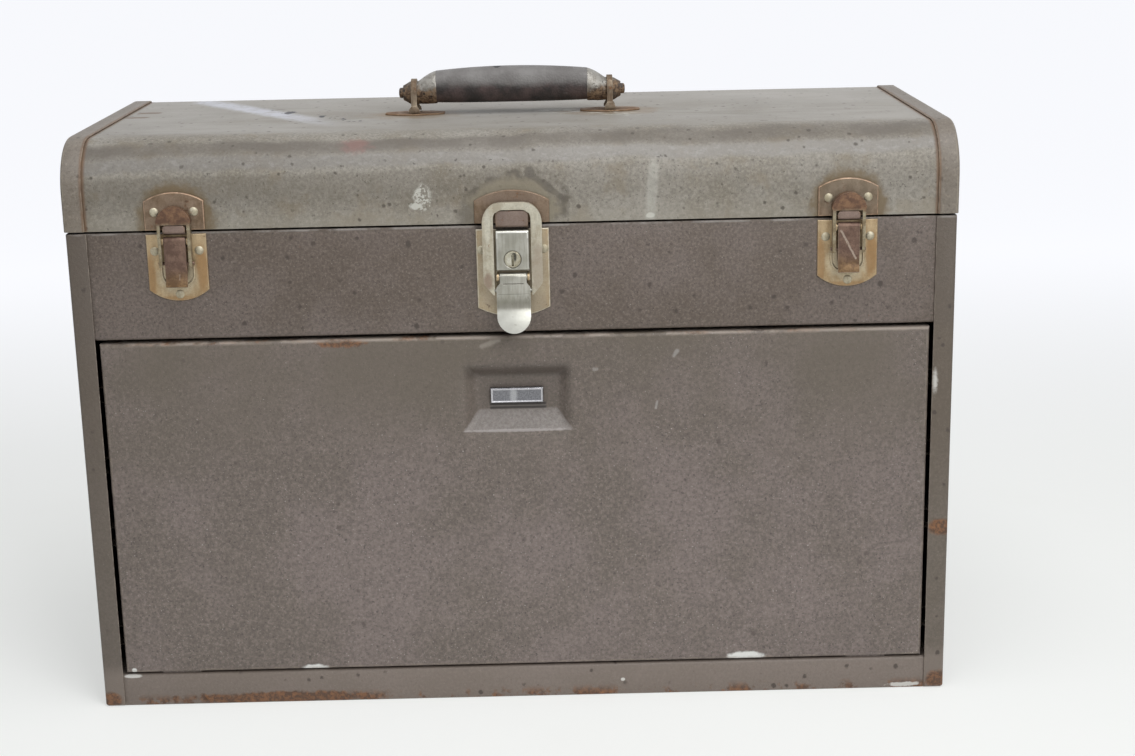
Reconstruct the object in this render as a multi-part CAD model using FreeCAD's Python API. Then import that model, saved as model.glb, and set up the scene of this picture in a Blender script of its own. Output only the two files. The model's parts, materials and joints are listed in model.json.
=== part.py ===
import FreeCAD, Part
import math
import os

from FreeCAD import Vector

# A machinist's tool chest in folded sheet steel: a case with a till, seven drawers and a lift-out
# front panel, under a hinged lid with three draw latches and a carrying handle.
# Millimetres. X runs across the front, Y from front to back, Z up. The origin is the centre of
# the bottom face.

# Case and sheet metal
CASE_WIDTH = 511.2
CASE_DEPTH = 216.0
CASE_HEIGHT = 291.5
SHEET = 1.0
FLANGE = 12.0  # turned-in flanges of the end panels and lid ends
BEND = 2.0  # outside radius of a fold
HEM_HEIGHT = 8.0
TILL_FRONT_BOTTOM = 228.5
TILL_RETURN = 12.0
TILL_FLOOR = 230.5
RAIL_HEIGHT = 20.0
RAIL_DEPTH = 14.0
FELT = 1.5

# Lid
LID_WIDTH = 512.4
LID_FRONT = -108.6
LID_BACK = 108.0
LID_BOTTOM = 292.7
LID_TOP = 344.0
LID_FRONT_RADIUS = 29.9
LID_BACK_RADIUS = 4.0

# Piano hinge
HINGE_Y = 109.6
HINGE_Z = 292.1
KNUCKLE_RADIUS = 2.4
KNUCKLE_BORE = 1.15
HINGE_PIN_RADIUS = 1.10
KNUCKLES = 5
KNUCKLE_PITCH = 96.0
KNUCKLE_GAP = 0.3
HINGE_LEAF = 18.0

# Lid stays: the case stud and the lid stud are equally far from the hinge line, so a slotted
# stay turns half as far as the lid does.
STAY_REACH = 40.0
STAY_CASE_ANGLE = 49.0  # below the hinge line
STAY_LID_ANGLE = 10.0  # above the hinge line
LID_TRAVEL = 95.0  # degrees
STAY_THICKNESS = 1.5
STAY_X = 250.6  # inner face of the stay
STUD_RADIUS = 1.75
STUD_END = 1.2  # how far a stud stands in past its stay

# Drawers and the panel's storage slot
DRAWER_FRONT = -86.0
DRAWER_BACK = 98.0
DRAWER_SIDE = 242.6
DRAWER_SHEET = 0.9
RUNNER_FRONT = -84.0
RUNNER_BACK = 104.0
GUIDE_X = 243.1
LEDGE_X = 236.0
DIVIDER_HALF = 6.0
DIVIDER_LEDGE = 7.0
SLOT_SHELF = 33.0  # top of the shelf over the panel's storage slot
DRAWER_SHELF = 97.0  # top of the shelf under the small drawers
WIDE_DRAWER_HEIGHT = 60.5
SMALL_DRAWER_HEIGHT = 40.5
ROW_PITCH = 44.0
ROWS = 3
PULL_LENGTH = 54.0
PULL_REACH = 10.0
PULL_HEIGHT = 13.0

# Lift-out front panel
PANEL_HALF = 241.5
PANEL_BOTTOM = 21.2
PANEL_TOP = 226.2
PANEL_FACE = -107.5
PANEL_THICKNESS = 9.0
PANEL_FOOT_X = 196.0
PANEL_FOOT_WIDTH = 24.0
DENT_BOTTOM = 168.8
DENT_TOP = 210.0
DENT_HALF = 32.0
DENT_FLOOR_BOTTOM = 181.0
DENT_FLOOR_TOP = 201.0
DENT_FLOOR_HALF = 22.0
DENT_DEPTH = 8.0
NAMEPLATE_HALF = 15.6
NAMEPLATE_BOTTOM = 184.5
NAMEPLATE_TOP = 193.7
NAMEPLATE_THICKNESS = 3.2

# Side draw latches
SIDE_LATCH_X = 192.5
SIDE_PLATE_HALF = 17.25
SIDE_PLATE_TOP = 290.5
SIDE_PLATE_CORNER = 258.0
SIDE_PLATE_TIP = 251.5
SIDE_STRIKE_CORNER = 309.7
SIDE_STRIKE_TIP = 314.8
LEVER_Y = -111.0  # lever pivot
LEVER_Z = 287.1
LEVER_KNUCKLE = 2.5
LEVER_HALF = 6.2
LEVER_END = 261.0
EAR_SIDE = 6.6  # inner face of a side latch's pivot ears
LINK_Y = -110.6  # link pivot on the lever
LINK_Z = 274.0
LINK_HALF = 10.0
LINK_WINDOW_HALF = 6.8
LINK_WINDOW_TOP = 296.7
LINK_FRONT = -114.0
LINK_BACK = -109.6
LATCH_PIN = 1.0
RUNNING = 0.06  # radial clearance of the latch pivots
CATCH_HALF = 6.4
CATCH_TOP = 296.4
CATCH_REACH = 5.4

# Centre latch with its lock
CENTRE_PLATE_HALF = 21.0
CENTRE_PLATE_CORNER = 243.3
CENTRE_PLATE_TIP = 238.0
CENTRE_PLATE_TOP = 289.5
CENTRE_STRIKE_HALF = 21.5
CENTRE_STRIKE_CORNER = 306.0
CENTRE_STRIKE_TIP = 312.0
LOCK_HALF = 9.6
LOCK_BOTTOM = 266.4
LOCK_FRONT = -115.6
PLUG_RADIUS = 4.3
PLUG_Z = 273.0
FLAP_Y = -114.6  # flap pivot
FLAP_Z = 262.6
FLAP_KNUCKLE = 2.3
EAR_CENTRE = 8.0  # inner face of the flap's pivot ears
FLAP_TOP_HALF = 7.6
FLAP_HALF = 9.7
FLAP_TIP = 230.4
FLAP_THICKNESS = 1.2
FLAP_SHOULDER = 256.8  # the flap is wider below this
FLAP_DISH_TOP = 252.2
FLAP_DISH = 245.6  # deepest line of the dished part
BAIL_Y = -114.0  # bail pivot on the flap
BAIL_Z = 254.7
BAIL_HALF = 17.5
BAIL_INNER_HALF = 10.3
BAIL_TOP = 305.8
BAIL_INNER_TOP = 301.5
BAIL_FRONT = -115.4
BAIL_THICKNESS = 2.8
BAIL_FOOT = 252.2
BAIL_FOOT_HALF = 11.2
BAIL_WAIST = 259.0  # the strap is full width above this
BAIL_PIN_HALF = 12.4
CENTRE_CATCH_HALF = 9.2
CENTRE_CATCH_TOP = 301.2
CENTRE_CATCH_REACH = 6.8

# Carrying handle
HANDLE_X = 60.5
HANDLE_Y = 5.0
HANDLE_Z = 356.2  # swing axis
LOOP_INNER = 7.4
LOOP_STRAP = 1.2
LOOP_WIDTH = 3.6
LOOP_LIFT = 18.0
HANDLE_PLATE_HALF_X = 22.0  # where the two rim arcs would meet
HANDLE_PLATE_END = 18.5
HANDLE_PLATE_TIP = 3.0
HANDLE_PLATE_HALF_Y = 10.6
HANDLE_PLATE_THICKNESS = 1.6
GRIP_HALF = 46.8
GRIP_BOTTOM = 349.5
GRIP_TOP = 371.7
GRIP_END_TOP = 369.4
GRIP_HALF_Y = 10.4
FERRULE_RADIUS = 9.6  # where the ferrule meets the grip
FERRULE_Z = 359.3
NECK_START = 57.6
NECK_END = 63.2
NOSE_RADIUS = 3.4
FERRULE_END = 70.0

CASE_HALF = CASE_WIDTH / 2
CASE_FRONT = -CASE_DEPTH / 2
CASE_BACK = CASE_DEPTH / 2
FLANGE_EDGE = CASE_HALF - FLANGE
WALL = CASE_HALF - SHEET  # inner face of an end panel
SKIN_FRONT = CASE_FRONT + SHEET  # outer face of the till front and the bottom rail
SKIN_BACK = CASE_BACK - SHEET
SHEET_END = WALL - BEND + SHEET - 0.1  # ends of sheets that lap inside the end panels
LID_HALF = LID_WIDTH / 2
LID_SKIN_FRONT = LID_FRONT + SHEET
LID_SKIN_TOP = LID_TOP - SHEET
ROW_FLOORS = [DRAWER_SHELF + SHEET + ROW_PITCH * row for row in range(ROWS)]
WIDE_FLOOR = SLOT_SHELF + SHEET


# ---------------------------------------------------------------- basic shapes


def box(x0, x1, y0, y1, z0, z1):
    return Part.makeBox(x1 - x0, y1 - y0, z1 - z0, Vector(x0, y0, z0))


def rod_x(x0, x1, y, z, radius):
    return Part.makeCylinder(radius, x1 - x0, Vector(x0, y, z), Vector(1, 0, 0))


def rod_y(x, y0, y1, z, radius):
    return Part.makeCylinder(radius, y1 - y0, Vector(x, y0, z), Vector(0, 1, 0))


def join(shapes):
    return shapes[0].multiFuse(shapes[1:]).removeSplitter()


def group(shapes):
    return Part.makeCompound(shapes)


def mirror(shape):
    return shape.mirror(Vector(0, 0, 0), Vector(1, 0, 0))


def both(shape):
    """The shape and its mirror image as one group."""
    return group([shape, mirror(shape)])


def shift(shape, x, y=0.0, z=0.0):
    moved = shape.copy()
    moved.translate(Vector(x, y, z))
    return moved


def round_edges(shape, radius, test):
    """Fillet the edges whose bounding boxes pass the test."""
    return shape.makeFillet(radius, [edge for edge in shape.Edges if test(edge.BoundBox)])


def break_edges(shape, width, test):
    """Chamfer the edges whose bounding boxes pass the test."""
    return shape.makeChamfer(width, [edge for edge in shape.Edges if test(edge.BoundBox)])


def outline(points):
    """A closed 2-D outline as edges. Each point is (u, v) or (u, v, corner radius)."""
    corners = [(Vector(p[0], p[1], 0), p[2] if len(p) > 2 else 0.0) for p in points]
    spans = []
    for i, (corner, radius) in enumerate(corners):
        if radius == 0:
            spans.append((corner, None, corner))
            continue
        back = (corners[i - 1][0] - corner).normalize()
        ahead = (corners[(i + 1) % len(corners)][0] - corner).normalize()
        half = back.getAngle(ahead) / 2
        reach = radius / math.tan(half)
        inward = (back + ahead).normalize()
        middle = corner + inward * (radius / math.sin(half) - radius)
        spans.append((corner + back * reach, middle, corner + ahead * reach))
    edges = []
    for i, (start, middle, end) in enumerate(spans):
        if middle is not None:
            edges.append(Part.Arc(start, middle, end).toShape())
        following = spans[(i + 1) % len(spans)][0]
        if (following - end).Length > 1e-6:
            edges.append(Part.LineSegment(end, following).toShape())
    return edges


def arched(half, base, corner, tip):
    """Outline of a plate that is square at the base and bowed at its far end."""
    left, right = Vector(-half, corner, 0), Vector(half, corner, 0)
    base_left, base_right = Vector(-half, base, 0), Vector(half, base, 0)
    return [
        Part.LineSegment(base_left, base_right).toShape(),
        Part.LineSegment(base_right, right).toShape(),
        Part.Arc(right, Vector(0, tip, 0), left).toShape(),
        Part.LineSegment(left, base_left).toShape(),
    ]


def slab_x(edges, x0, x1):
    """Extrude a (y, z) outline along X."""
    face = Part.Face(Part.Wire(Part.__sortEdges__(edges)))
    face.rotate(Vector(0, 0, 0), Vector(1, 1, 1), 120)
    face.translate(Vector(x0, 0, 0))
    return face.extrude(Vector(x1 - x0, 0, 0))


def slab_y(edges, y0, y1):
    """Extrude an (x, z) outline along Y."""
    face = Part.Face(Part.Wire(Part.__sortEdges__(edges)))
    face.rotate(Vector(0, 0, 0), Vector(1, 0, 0), 90)
    face.translate(Vector(0, y0, 0))
    return face.extrude(Vector(0, y1 - y0, 0))


def stay_stud(x_wall, y, z):
    """Riveted stud that stands in from the wall through a stay."""
    return rod_x(STAY_X - STUD_END, x_wall, y, z, STUD_RADIUS)


# ---------------------------------------------------------------- case


def end_panel():
    """Right-hand end: a plate with flanges turned in at the front, back and bottom."""
    above = CASE_HEIGHT + 20
    outer = box(FLANGE_EDGE, CASE_HALF, CASE_FRONT, CASE_BACK, 0, above)
    outer = round_edges(outer, BEND, lambda b: b.XMin > CASE_HALF - 1 and b.ZLength > above - 1)
    outer = break_edges(outer, SHEET, lambda b: b.XMax > FLANGE_EDGE + 1 and b.ZMax < 1)
    inner = box(FLANGE_EDGE - 5, WALL, CASE_FRONT + SHEET, CASE_BACK - SHEET, SHEET, above + 5)
    panel = outer.cut(inner)
    panel = panel.cut(box(0, CASE_HALF + 5, -200, 200, CASE_HEIGHT, above + 10))
    hem_end = SKIN_BACK - 2.5
    hem = box(WALL - SHEET, WALL, -hem_end, hem_end, CASE_HEIGHT - HEM_HEIGHT, CASE_HEIGHT)
    return join([panel, hem])


def back_and_bottom():
    """Back and floor in one sheet; the floor steps up over the end panels' bottom flanges."""
    front = SKIN_FRONT + SHEET
    hem = SHEET

    def folded(floor, x0, x1):
        return slab_x(
            outline([
                (front, floor),
                (SKIN_BACK, floor, BEND),
                (SKIN_BACK, CASE_HEIGHT),
                (SKIN_BACK - SHEET - hem, CASE_HEIGHT),
                (SKIN_BACK - SHEET - hem, CASE_HEIGHT - HEM_HEIGHT),
                (SKIN_BACK - SHEET, CASE_HEIGHT - HEM_HEIGHT),
                (SKIN_BACK - SHEET, floor + SHEET, BEND - SHEET),
                (front, floor + SHEET),
            ]), x0, x1)

    middle = folded(0.0, -FLANGE_EDGE + 0.4, FLANGE_EDGE - 0.4)
    right = folded(SHEET, FLANGE_EDGE - 1.4, SHEET_END)
    return join([middle, right, mirror(right)])


def till_front():
    """Front wall of the till: hemmed top edge, and a return that carries the till floor."""
    face = SKIN_FRONT
    return slab_x(
        outline([
            (face, TILL_FRONT_BOTTOM, BEND),
            (face + TILL_RETURN, TILL_FRONT_BOTTOM),
            (face + TILL_RETURN, TILL_FRONT_BOTTOM + SHEET),
            (face + SHEET, TILL_FRONT_BOTTOM + SHEET, BEND - SHEET),
            (face + SHEET, CASE_HEIGHT - HEM_HEIGHT),
            (face + 2 * SHEET, CASE_HEIGHT - HEM_HEIGHT),
            (face + 2 * SHEET, CASE_HEIGHT),
            (face, CASE_HEIGHT),
        ]), -SHEET_END, SHEET_END)


def bottom_rail():
    """Channel across the foot of the front, notched over the end panels' bottom flanges."""
    face = SKIN_FRONT
    back = face + RAIL_DEPTH
    rail = slab_x(
        outline([
            (face, 0.0),
            (face + SHEET, 0.0),
            (face + SHEET, RAIL_HEIGHT - SHEET, 0.6),
            (back - SHEET, RAIL_HEIGHT - SHEET, 0.6),
            (back - SHEET, RAIL_HEIGHT - 7),
            (back, RAIL_HEIGHT - 7),
            (back, RAIL_HEIGHT, 1.6),
            (face, RAIL_HEIGHT, BEND),
        ]), -SHEET_END, SHEET_END)
    notch = box(FLANGE_EDGE, CASE_HALF, face - 1, back, -1, BEND)
    return rail.cut(notch).cut(mirror(notch))


def till_floor():
    """Sheet with flanges turned down at the ends and the back."""
    drop = 9.0
    back = SKIN_BACK - SHEET
    front = SKIN_FRONT + BEND + 0.1
    end_start = SKIN_FRONT + TILL_RETURN + 0.5
    outer = box(-WALL, WALL, front, back, TILL_FLOOR - drop, TILL_FLOOR)
    hollow = box(
        -WALL + SHEET, WALL - SHEET, front - 1, back - SHEET, TILL_FLOOR - drop - 1,
        TILL_FLOOR - SHEET
    )
    notch = box(-WALL - 1, WALL + 1, front - 1, end_start, TILL_FLOOR - drop - 1, TILL_FLOOR - SHEET)
    return outer.cut(hollow).cut(notch)


def till_felt():
    top = TILL_FLOOR + FELT
    return box(-WALL + 2.6, WALL - 2.6, SKIN_FRONT + 2.6, SKIN_BACK - 2.6, TILL_FLOOR, top)


def shelf(top, drop):
    """Flat shelf spot-welded between the end panels by its turned-down end flanges."""
    front = DRAWER_FRONT - 2
    back = SKIN_BACK - SHEET
    outer = box(-WALL, WALL, front, back, top - drop, top)
    hollow = box(
        -WALL + SHEET, WALL - SHEET, front - 1, back - SHEET, top - drop - 1, top - SHEET
    )
    return outer.cut(hollow)


def panel_slot_guides():
    """Angles along both ends, level with the rail, on which the stored front panel slides."""
    front = SKIN_FRONT + RAIL_DEPTH
    guide = slab_y(
        outline([
            (WALL - 24, RAIL_HEIGHT - SHEET),
            (WALL - SHEET, RAIL_HEIGHT - SHEET, 0.6),
            (WALL - SHEET, RAIL_HEIGHT - 11),
            (WALL, RAIL_HEIGHT - 11),
            (WALL, RAIL_HEIGHT, 1.6),
            (WALL - 24, RAIL_HEIGHT),
        ]), front, RUNNER_BACK)
    return both(guide)


def centre_divider():
    """Folded column between the small drawers, with ledges pressed out for their runners."""
    half = DIVIDER_HALF
    top = TILL_FLOOR - SHEET
    column = box(-half, half, DRAWER_FRONT - 1, RUNNER_BACK, DRAWER_SHELF, top)
    column = round_edges(
        column, 1.5, lambda b: b.ZLength > 1 and b.YMax < DRAWER_FRONT and b.XLength < 1)
    hollow = box(
        -half + SHEET, half - SHEET, DRAWER_FRONT - 1 + SHEET, RUNNER_BACK + 1,
        DRAWER_SHELF - 1, top + 1
    )
    parts = [column.cut(hollow)]
    for floor in ROW_FLOORS:
        ledge = box(half - SHEET, half + DIVIDER_LEDGE, RUNNER_FRONT, RUNNER_BACK,
                    floor - SHEET, floor)
        parts += [ledge, mirror(ledge)]
    return join(parts)


def drawer_runners():
    """Hat-section runners on the end panels: a ledge below each drawer, a wall beside it."""
    height = 10.0
    runners = []
    for floor in [WIDE_FLOOR] + ROW_FLOORS:
        base = floor - SHEET
        profile = outline([
            (LEDGE_X, base),
            (WALL, base),
            (WALL, floor),
            (GUIDE_X + SHEET, floor),
            (GUIDE_X + SHEET, base + height - SHEET),
            (WALL, base + height - SHEET),
            (WALL, base + height),
            (GUIDE_X, base + height),
            (GUIDE_X, floor),
            (LEDGE_X, floor),
        ])
        runner = slab_y(profile, RUNNER_FRONT, RUNNER_BACK)
        runners += [runner, mirror(runner)]
    return group(runners)


# ---------------------------------------------------------------- hinge and stays


def hinge_leaf(upper):
    """One leaf of the piano hinge with every second knuckle."""
    half = KNUCKLES * KNUCKLE_PITCH / 2
    side = 1 if upper else -1
    edge, far = HINGE_Z + side * (KNUCKLE_RADIUS + 0.3), HINGE_Z + side * HINGE_LEAF
    inner, outer = SKIN_BACK, SKIN_BACK + SHEET
    length = KNUCKLE_PITCH - KNUCKLE_GAP
    tab = box(0, length, inner, outer, min(edge, HINGE_Z), max(edge, HINGE_Z))
    barrel = rod_x(0, length, HINGE_Y, HINGE_Z, KNUCKLE_RADIUS)
    bore = rod_x(-1, length + 1, HINGE_Y, HINGE_Z, KNUCKLE_BORE)
    knuckle = join([tab, barrel]).cut(bore)
    first = 1 if upper else 0
    starts = [-half + KNUCKLE_PITCH * i + KNUCKLE_GAP / 2 for i in range(first, KNUCKLES, 2)]
    leaf = box(-half, half, inner, outer, min(edge, far), max(edge, far))
    return join([leaf] + [shift(knuckle, x) for x in starts])


def hinge_pin():
    """Long pin, its ends flush with the outer knuckles."""
    half = (KNUCKLES * KNUCKLE_PITCH - KNUCKLE_GAP) / 2
    return rod_x(-half, half, HINGE_Y, HINGE_Z, HINGE_PIN_RADIUS)


def stay_points():
    """(y, z) of the case stud and the lid stud with the lid shut."""
    low, high = math.radians(STAY_CASE_ANGLE), math.radians(STAY_LID_ANGLE)
    case_stud = (HINGE_Y - STAY_REACH * math.cos(low), HINGE_Z - STAY_REACH * math.sin(low))
    lid_stud = (HINGE_Y - STAY_REACH * math.cos(high), HINGE_Z + STAY_REACH * math.sin(high))
    return case_stud, lid_stud


def lid_stay():
    """Slotted stay: pivots on the case stud, and the lid stud runs in its slot."""
    (sy, sz), (py, pz) = stay_points()
    apex = STAY_CASE_ANGLE + STAY_LID_ANGLE
    near = 2 * STAY_REACH * math.sin(math.radians(apex / 2))
    far = 2 * STAY_REACH * math.sin(math.radians((apex + LID_TRAVEL) / 2))
    half_width, slot_half, spare = 4.2, STUD_RADIUS + 0.35, 0.3
    length = far + spare

    def capsule(start, end, radius, grow):
        x0, x1 = STAY_X - grow, STAY_X + STAY_THICKNESS + grow
        return join([
            rod_x(x0, x1, start, 0, radius), rod_x(x0, x1, end, 0, radius),
            box(x0, x1, start, end, -radius, radius),
        ])

    arm = capsule(0, length, half_width, 0)
    arm = arm.cut(capsule(near - spare, length, slot_half, 1))
    arm = arm.cut(rod_x(STAY_X - 1, STAY_X + STAY_THICKNESS + 1, 0, 0, STUD_RADIUS + 0.05))
    arm.rotate(Vector(0, 0, 0), Vector(1, 0, 0), math.degrees(math.atan2(pz - sz, py - sy)))
    return shift(arm, 0, sy, sz)


# ---------------------------------------------------------------- lid


def lid_profile(inset, bottom):
    """(y, z) outline of the lid, drawn in by inset."""
    front, back, top = LID_FRONT + inset, LID_BACK - inset, LID_TOP - inset
    return outline([
        (front, bottom),
        (back, bottom),
        (back, top, LID_BACK_RADIUS - inset),
        (front, top, LID_FRONT_RADIUS - inset),
    ])


def lid_end():
    """Right-hand lid end: a drawn cap that laps over the cover."""
    below = LID_BOTTOM - 15
    outer = slab_x(lid_profile(0, below), LID_HALF - FLANGE, LID_HALF)
    outer = break_edges(
        outer, BEND * 0.6, lambda b: b.XMin > LID_HALF - 1 and b.ZMax > LID_BOTTOM)
    inner = slab_x(lid_profile(SHEET, below - 5), LID_HALF - FLANGE - 5, LID_HALF - SHEET)
    cap = outer.cut(inner)
    return cap.cut(box(0, 300, -200, 200, below - 10, LID_BOTTOM))


def loop_slots(z0, z1):
    """Four slots for the legs of the handle loops."""
    slots = []
    for side_x in (-HANDLE_X, HANDLE_X):
        for y in (HANDLE_Y - LOOP_INNER - LOOP_STRAP / 2, HANDLE_Y + LOOP_INNER + LOOP_STRAP / 2):
            slots.append(box(side_x - 2.2, side_x + 2.2, y - 1.0, y + 1.0, z0, z1))
    return group(slots)


def lid_cover():
    """Front, top and back of the lid in one bent sheet, hemmed along both lower edges."""
    half = LID_HALF - 2.4
    cover = slab_x(lid_profile(SHEET, LID_BOTTOM), -half, half)
    cover = cover.cut(slab_x(lid_profile(2 * SHEET, LID_BOTTOM - 5), -half - 5, half + 5))
    face = LID_SKIN_FRONT + SHEET
    rear = LID_BACK - 2 * SHEET
    hem_top = LID_BOTTOM + HEM_HEIGHT
    hem_half = half - 4
    front_hem = box(-hem_half, hem_half, face, face + SHEET, LID_BOTTOM, hem_top)
    back_hem = box(-hem_half, hem_half, rear - SHEET, rear, LID_BOTTOM, hem_top)
    return join([cover, front_hem, back_hem]).cut(loop_slots(LID_TOP - 10, LID_TOP + 5))


# ---------------------------------------------------------------- latches


def bevelled_plate(edges, face, thickness):
    """Stamped plate whose front edge is broken."""
    plate = slab_y(edges, face - thickness, face)
    return break_edges(plate, 0.4, lambda b: b.YMax < face - thickness + 0.01)


def hook(half, top, reach, thickness, crown):
    """Catch curled out and up from the strike's lower edge, for the link to pull down on."""
    face = LID_SKIN_FRONT
    plate = face - 1.2
    bottom = LID_BOTTOM - 1.6
    profile = outline([
        (face, LID_BOTTOM + 1.2),
        (face, bottom),
        (face - reach, bottom, 2.0),
        (face - reach, top, crown),
        (face - reach + thickness, top),
        (face - reach + thickness, bottom + thickness),
        (plate, bottom + thickness),
        (plate, LID_BOTTOM + 1.2),
    ])
    mask = slab_y(
        outline([(-half, bottom - 1), (half, bottom - 1), (half, top, half / 3.0),
                 (-half, top, half / 3.0)]), face - 10, face + 1)
    return slab_x(profile, -half, half).common(mask)


def strike(half, corner, tip, catch):
    plate = bevelled_plate(arched(half, LID_BOTTOM + 0.2, corner, tip), LID_SKIN_FRONT, 1.2)
    return join([plate, catch])


def pivot_ears(inner, outer, y, z, radius, drop):
    """Pair of ears that stand out from a latch plate and hold a lever's pin between them."""
    back = SKIN_FRONT - SHEET / 2
    profile = outline([
        (back, z + radius), (y - radius, z + radius, radius), (y - radius, z - radius, radius * 0.8),
        (back, z - drop),
    ])
    ear = slab_x(profile, inner, outer)
    return [ear, mirror(ear)]


def side_latch_plate():
    plate = bevelled_plate(
        arched(SIDE_PLATE_HALF, SIDE_PLATE_TOP, SIDE_PLATE_CORNER, SIDE_PLATE_TIP),
        SKIN_FRONT, SHEET)
    return join([plate] + pivot_ears(EAR_SIDE, EAR_SIDE + SHEET, LEVER_Y, LEVER_Z, 1.9, 5.0))


def side_lever():
    """Stamped lever: rolled knuckle at the top, cheeks for the link pin, lipped lower end."""
    face = LEVER_Y - LEVER_KNUCKLE
    inner = face + SHEET
    plate = slab_x(
        outline([
            (face, LEVER_Z),
            (face, LEVER_END + 4.5, 5.0),
            (face - 1.6, LEVER_END),
            (face - 0.7, LEVER_END - 0.4),
            (inner, LEVER_END + 4.1, 5.0),
            (inner, LEVER_Z),
        ]), -LEVER_HALF, LEVER_HALF)
    knuckle = rod_x(-LEVER_HALF, LEVER_HALF, LEVER_Y, LEVER_Z, LEVER_KNUCKLE)
    cheek = slab_x(
        outline([
            (face + 0.5, LEVER_Z + 0.8),
            (face + 0.5, LINK_Z - 8.5),
            (LINK_Y + 1.2, LINK_Z - 3.0),
            (LINK_Y + 1.2, LEVER_Z + 0.8),
        ]), LEVER_HALF - SHEET, LEVER_HALF)
    stub = rod_x(LEVER_HALF - SHEET / 2, LINK_HALF + 0.2, LINK_Y, LINK_Z, LATCH_PIN)
    lever = join([plate, knuckle, cheek, mirror(cheek), stub, mirror(stub)])
    return lever.cut(rod_x(-10, 10, LEVER_Y, LEVER_Z, LATCH_PIN + RUNNING))


def side_link():
    """Pressed link: a domed cap over the catch, two legs, and eyes on the lever's pin."""
    foot = LINK_Z - 1.8
    centre = LINK_WINDOW_TOP + 0.4
    tip = centre + LINK_HALF
    rim = outline([
        (-LINK_HALF, foot), (LINK_HALF, foot), (LINK_HALF, tip, LINK_HALF),
        (-LINK_HALF, tip, LINK_HALF),
    ])
    body = slab_y(rim, LINK_FRONT, LINK_BACK)
    inner, back = LINK_FRONT + SHEET, LINK_BACK + 1
    side = LINK_HALF - SHEET
    cap = rod_y(0, inner, back, centre, side).common(
        box(-side, side, inner, back, LINK_WINDOW_TOP + SHEET, tip))
    window = box(
        -LINK_WINDOW_HALF, LINK_WINDOW_HALF, LINK_FRONT - 1, back, foot - 1, LINK_WINDOW_TOP)
    legs = box(-side, side, inner, back, foot - 1, LINK_WINDOW_TOP)
    eyes = rod_x(-LINK_HALF - 1, LINK_HALF + 1, LINK_Y, LINK_Z, LATCH_PIN + RUNNING)
    return body.cut(cap).cut(window).cut(legs).cut(eyes)


def centre_latch_plate():
    plate = bevelled_plate(
        arched(CENTRE_PLATE_HALF, CENTRE_PLATE_TOP, CENTRE_PLATE_CORNER, CENTRE_PLATE_TIP),
        SKIN_FRONT, SHEET)
    return join([plate] + pivot_ears(EAR_CENTRE, LOCK_HALF, FLAP_Y, FLAP_Z, 2.0, 2.8))


def lock_case():
    """Lock housing riveted to the plate, bored for the key plug."""
    face = SKIN_FRONT - SHEET
    case = box(-LOCK_HALF, LOCK_HALF, LOCK_FRONT, face, LOCK_BOTTOM, CENTRE_PLATE_TOP)
    case = break_edges(case, 0.8, lambda b: b.YMax < LOCK_FRONT + 0.01)
    return case.cut(rod_y(0, LOCK_FRONT - 1, face - 1.2, PLUG_Z, PLUG_RADIUS + 0.05))


def lock_plug():
    """Key plug with its keyway."""
    plug = rod_y(0, LOCK_FRONT - 0.4, SKIN_FRONT - SHEET - 1.4, PLUG_Z, PLUG_RADIUS)
    keyway = box(-0.7, 0.7, LOCK_FRONT - 1, LOCK_FRONT + 4, PLUG_Z - 4.0, PLUG_Z + 2.6)
    return plug.cut(keyway)


def centre_lever():
    """Flap of the centre latch: rolled pivot, dished body and a spoon tip to lift it by."""
    face = FLAP_Y - FLAP_KNUCKLE
    inner = face + FLAP_THICKNESS
    profile = outline([
        (face, FLAP_Z),
        (face, FLAP_DISH_TOP, 7.0),
        (face + 2.0, FLAP_DISH, 7.0),
        (face - 3.4, FLAP_TIP - 0.6),
        (face - 2.2, FLAP_TIP - 1.2),
        (inner + 2.0, FLAP_DISH - 0.4, 7.0),
        (inner, FLAP_DISH_TOP - 0.4, 7.0),
        (inner, FLAP_Z),
    ])
    rim = outline([
        (-FLAP_TOP_HALF, FLAP_Z + 5),
        (FLAP_TOP_HALF, FLAP_Z + 5),
        (FLAP_TOP_HALF, FLAP_SHOULDER + 2.6),
        (FLAP_HALF, FLAP_SHOULDER),
        (FLAP_HALF, FLAP_TIP, FLAP_HALF),
        (-FLAP_HALF, FLAP_TIP, FLAP_HALF),
        (-FLAP_HALF, FLAP_SHOULDER),
        (-FLAP_TOP_HALF, FLAP_SHOULDER + 2.6),
    ])
    sheet = slab_x(profile, -FLAP_HALF, FLAP_HALF).common(slab_y(rim, face - 6, inner + 6))
    knuckle = rod_x(-FLAP_TOP_HALF, FLAP_TOP_HALF, FLAP_Y, FLAP_Z, FLAP_KNUCKLE)
    cheek = slab_x(
        outline([
            (face + 0.5, FLAP_Z), (face + 0.5, BAIL_Z - 3.5), (BAIL_Y + 1.8, BAIL_Z - 2.4),
            (BAIL_Y + 1.8, FLAP_Z),
        ]), FLAP_TOP_HALF - SHEET, FLAP_TOP_HALF)
    stub = rod_x(FLAP_TOP_HALF - SHEET / 2, BAIL_PIN_HALF, BAIL_Y, BAIL_Z, LATCH_PIN)
    lever = join([sheet, knuckle, cheek, mirror(cheek), stub, mirror(stub)])
    return lever.cut(rod_x(-12, 12, FLAP_Y, FLAP_Z, LATCH_PIN + RUNNING))


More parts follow.
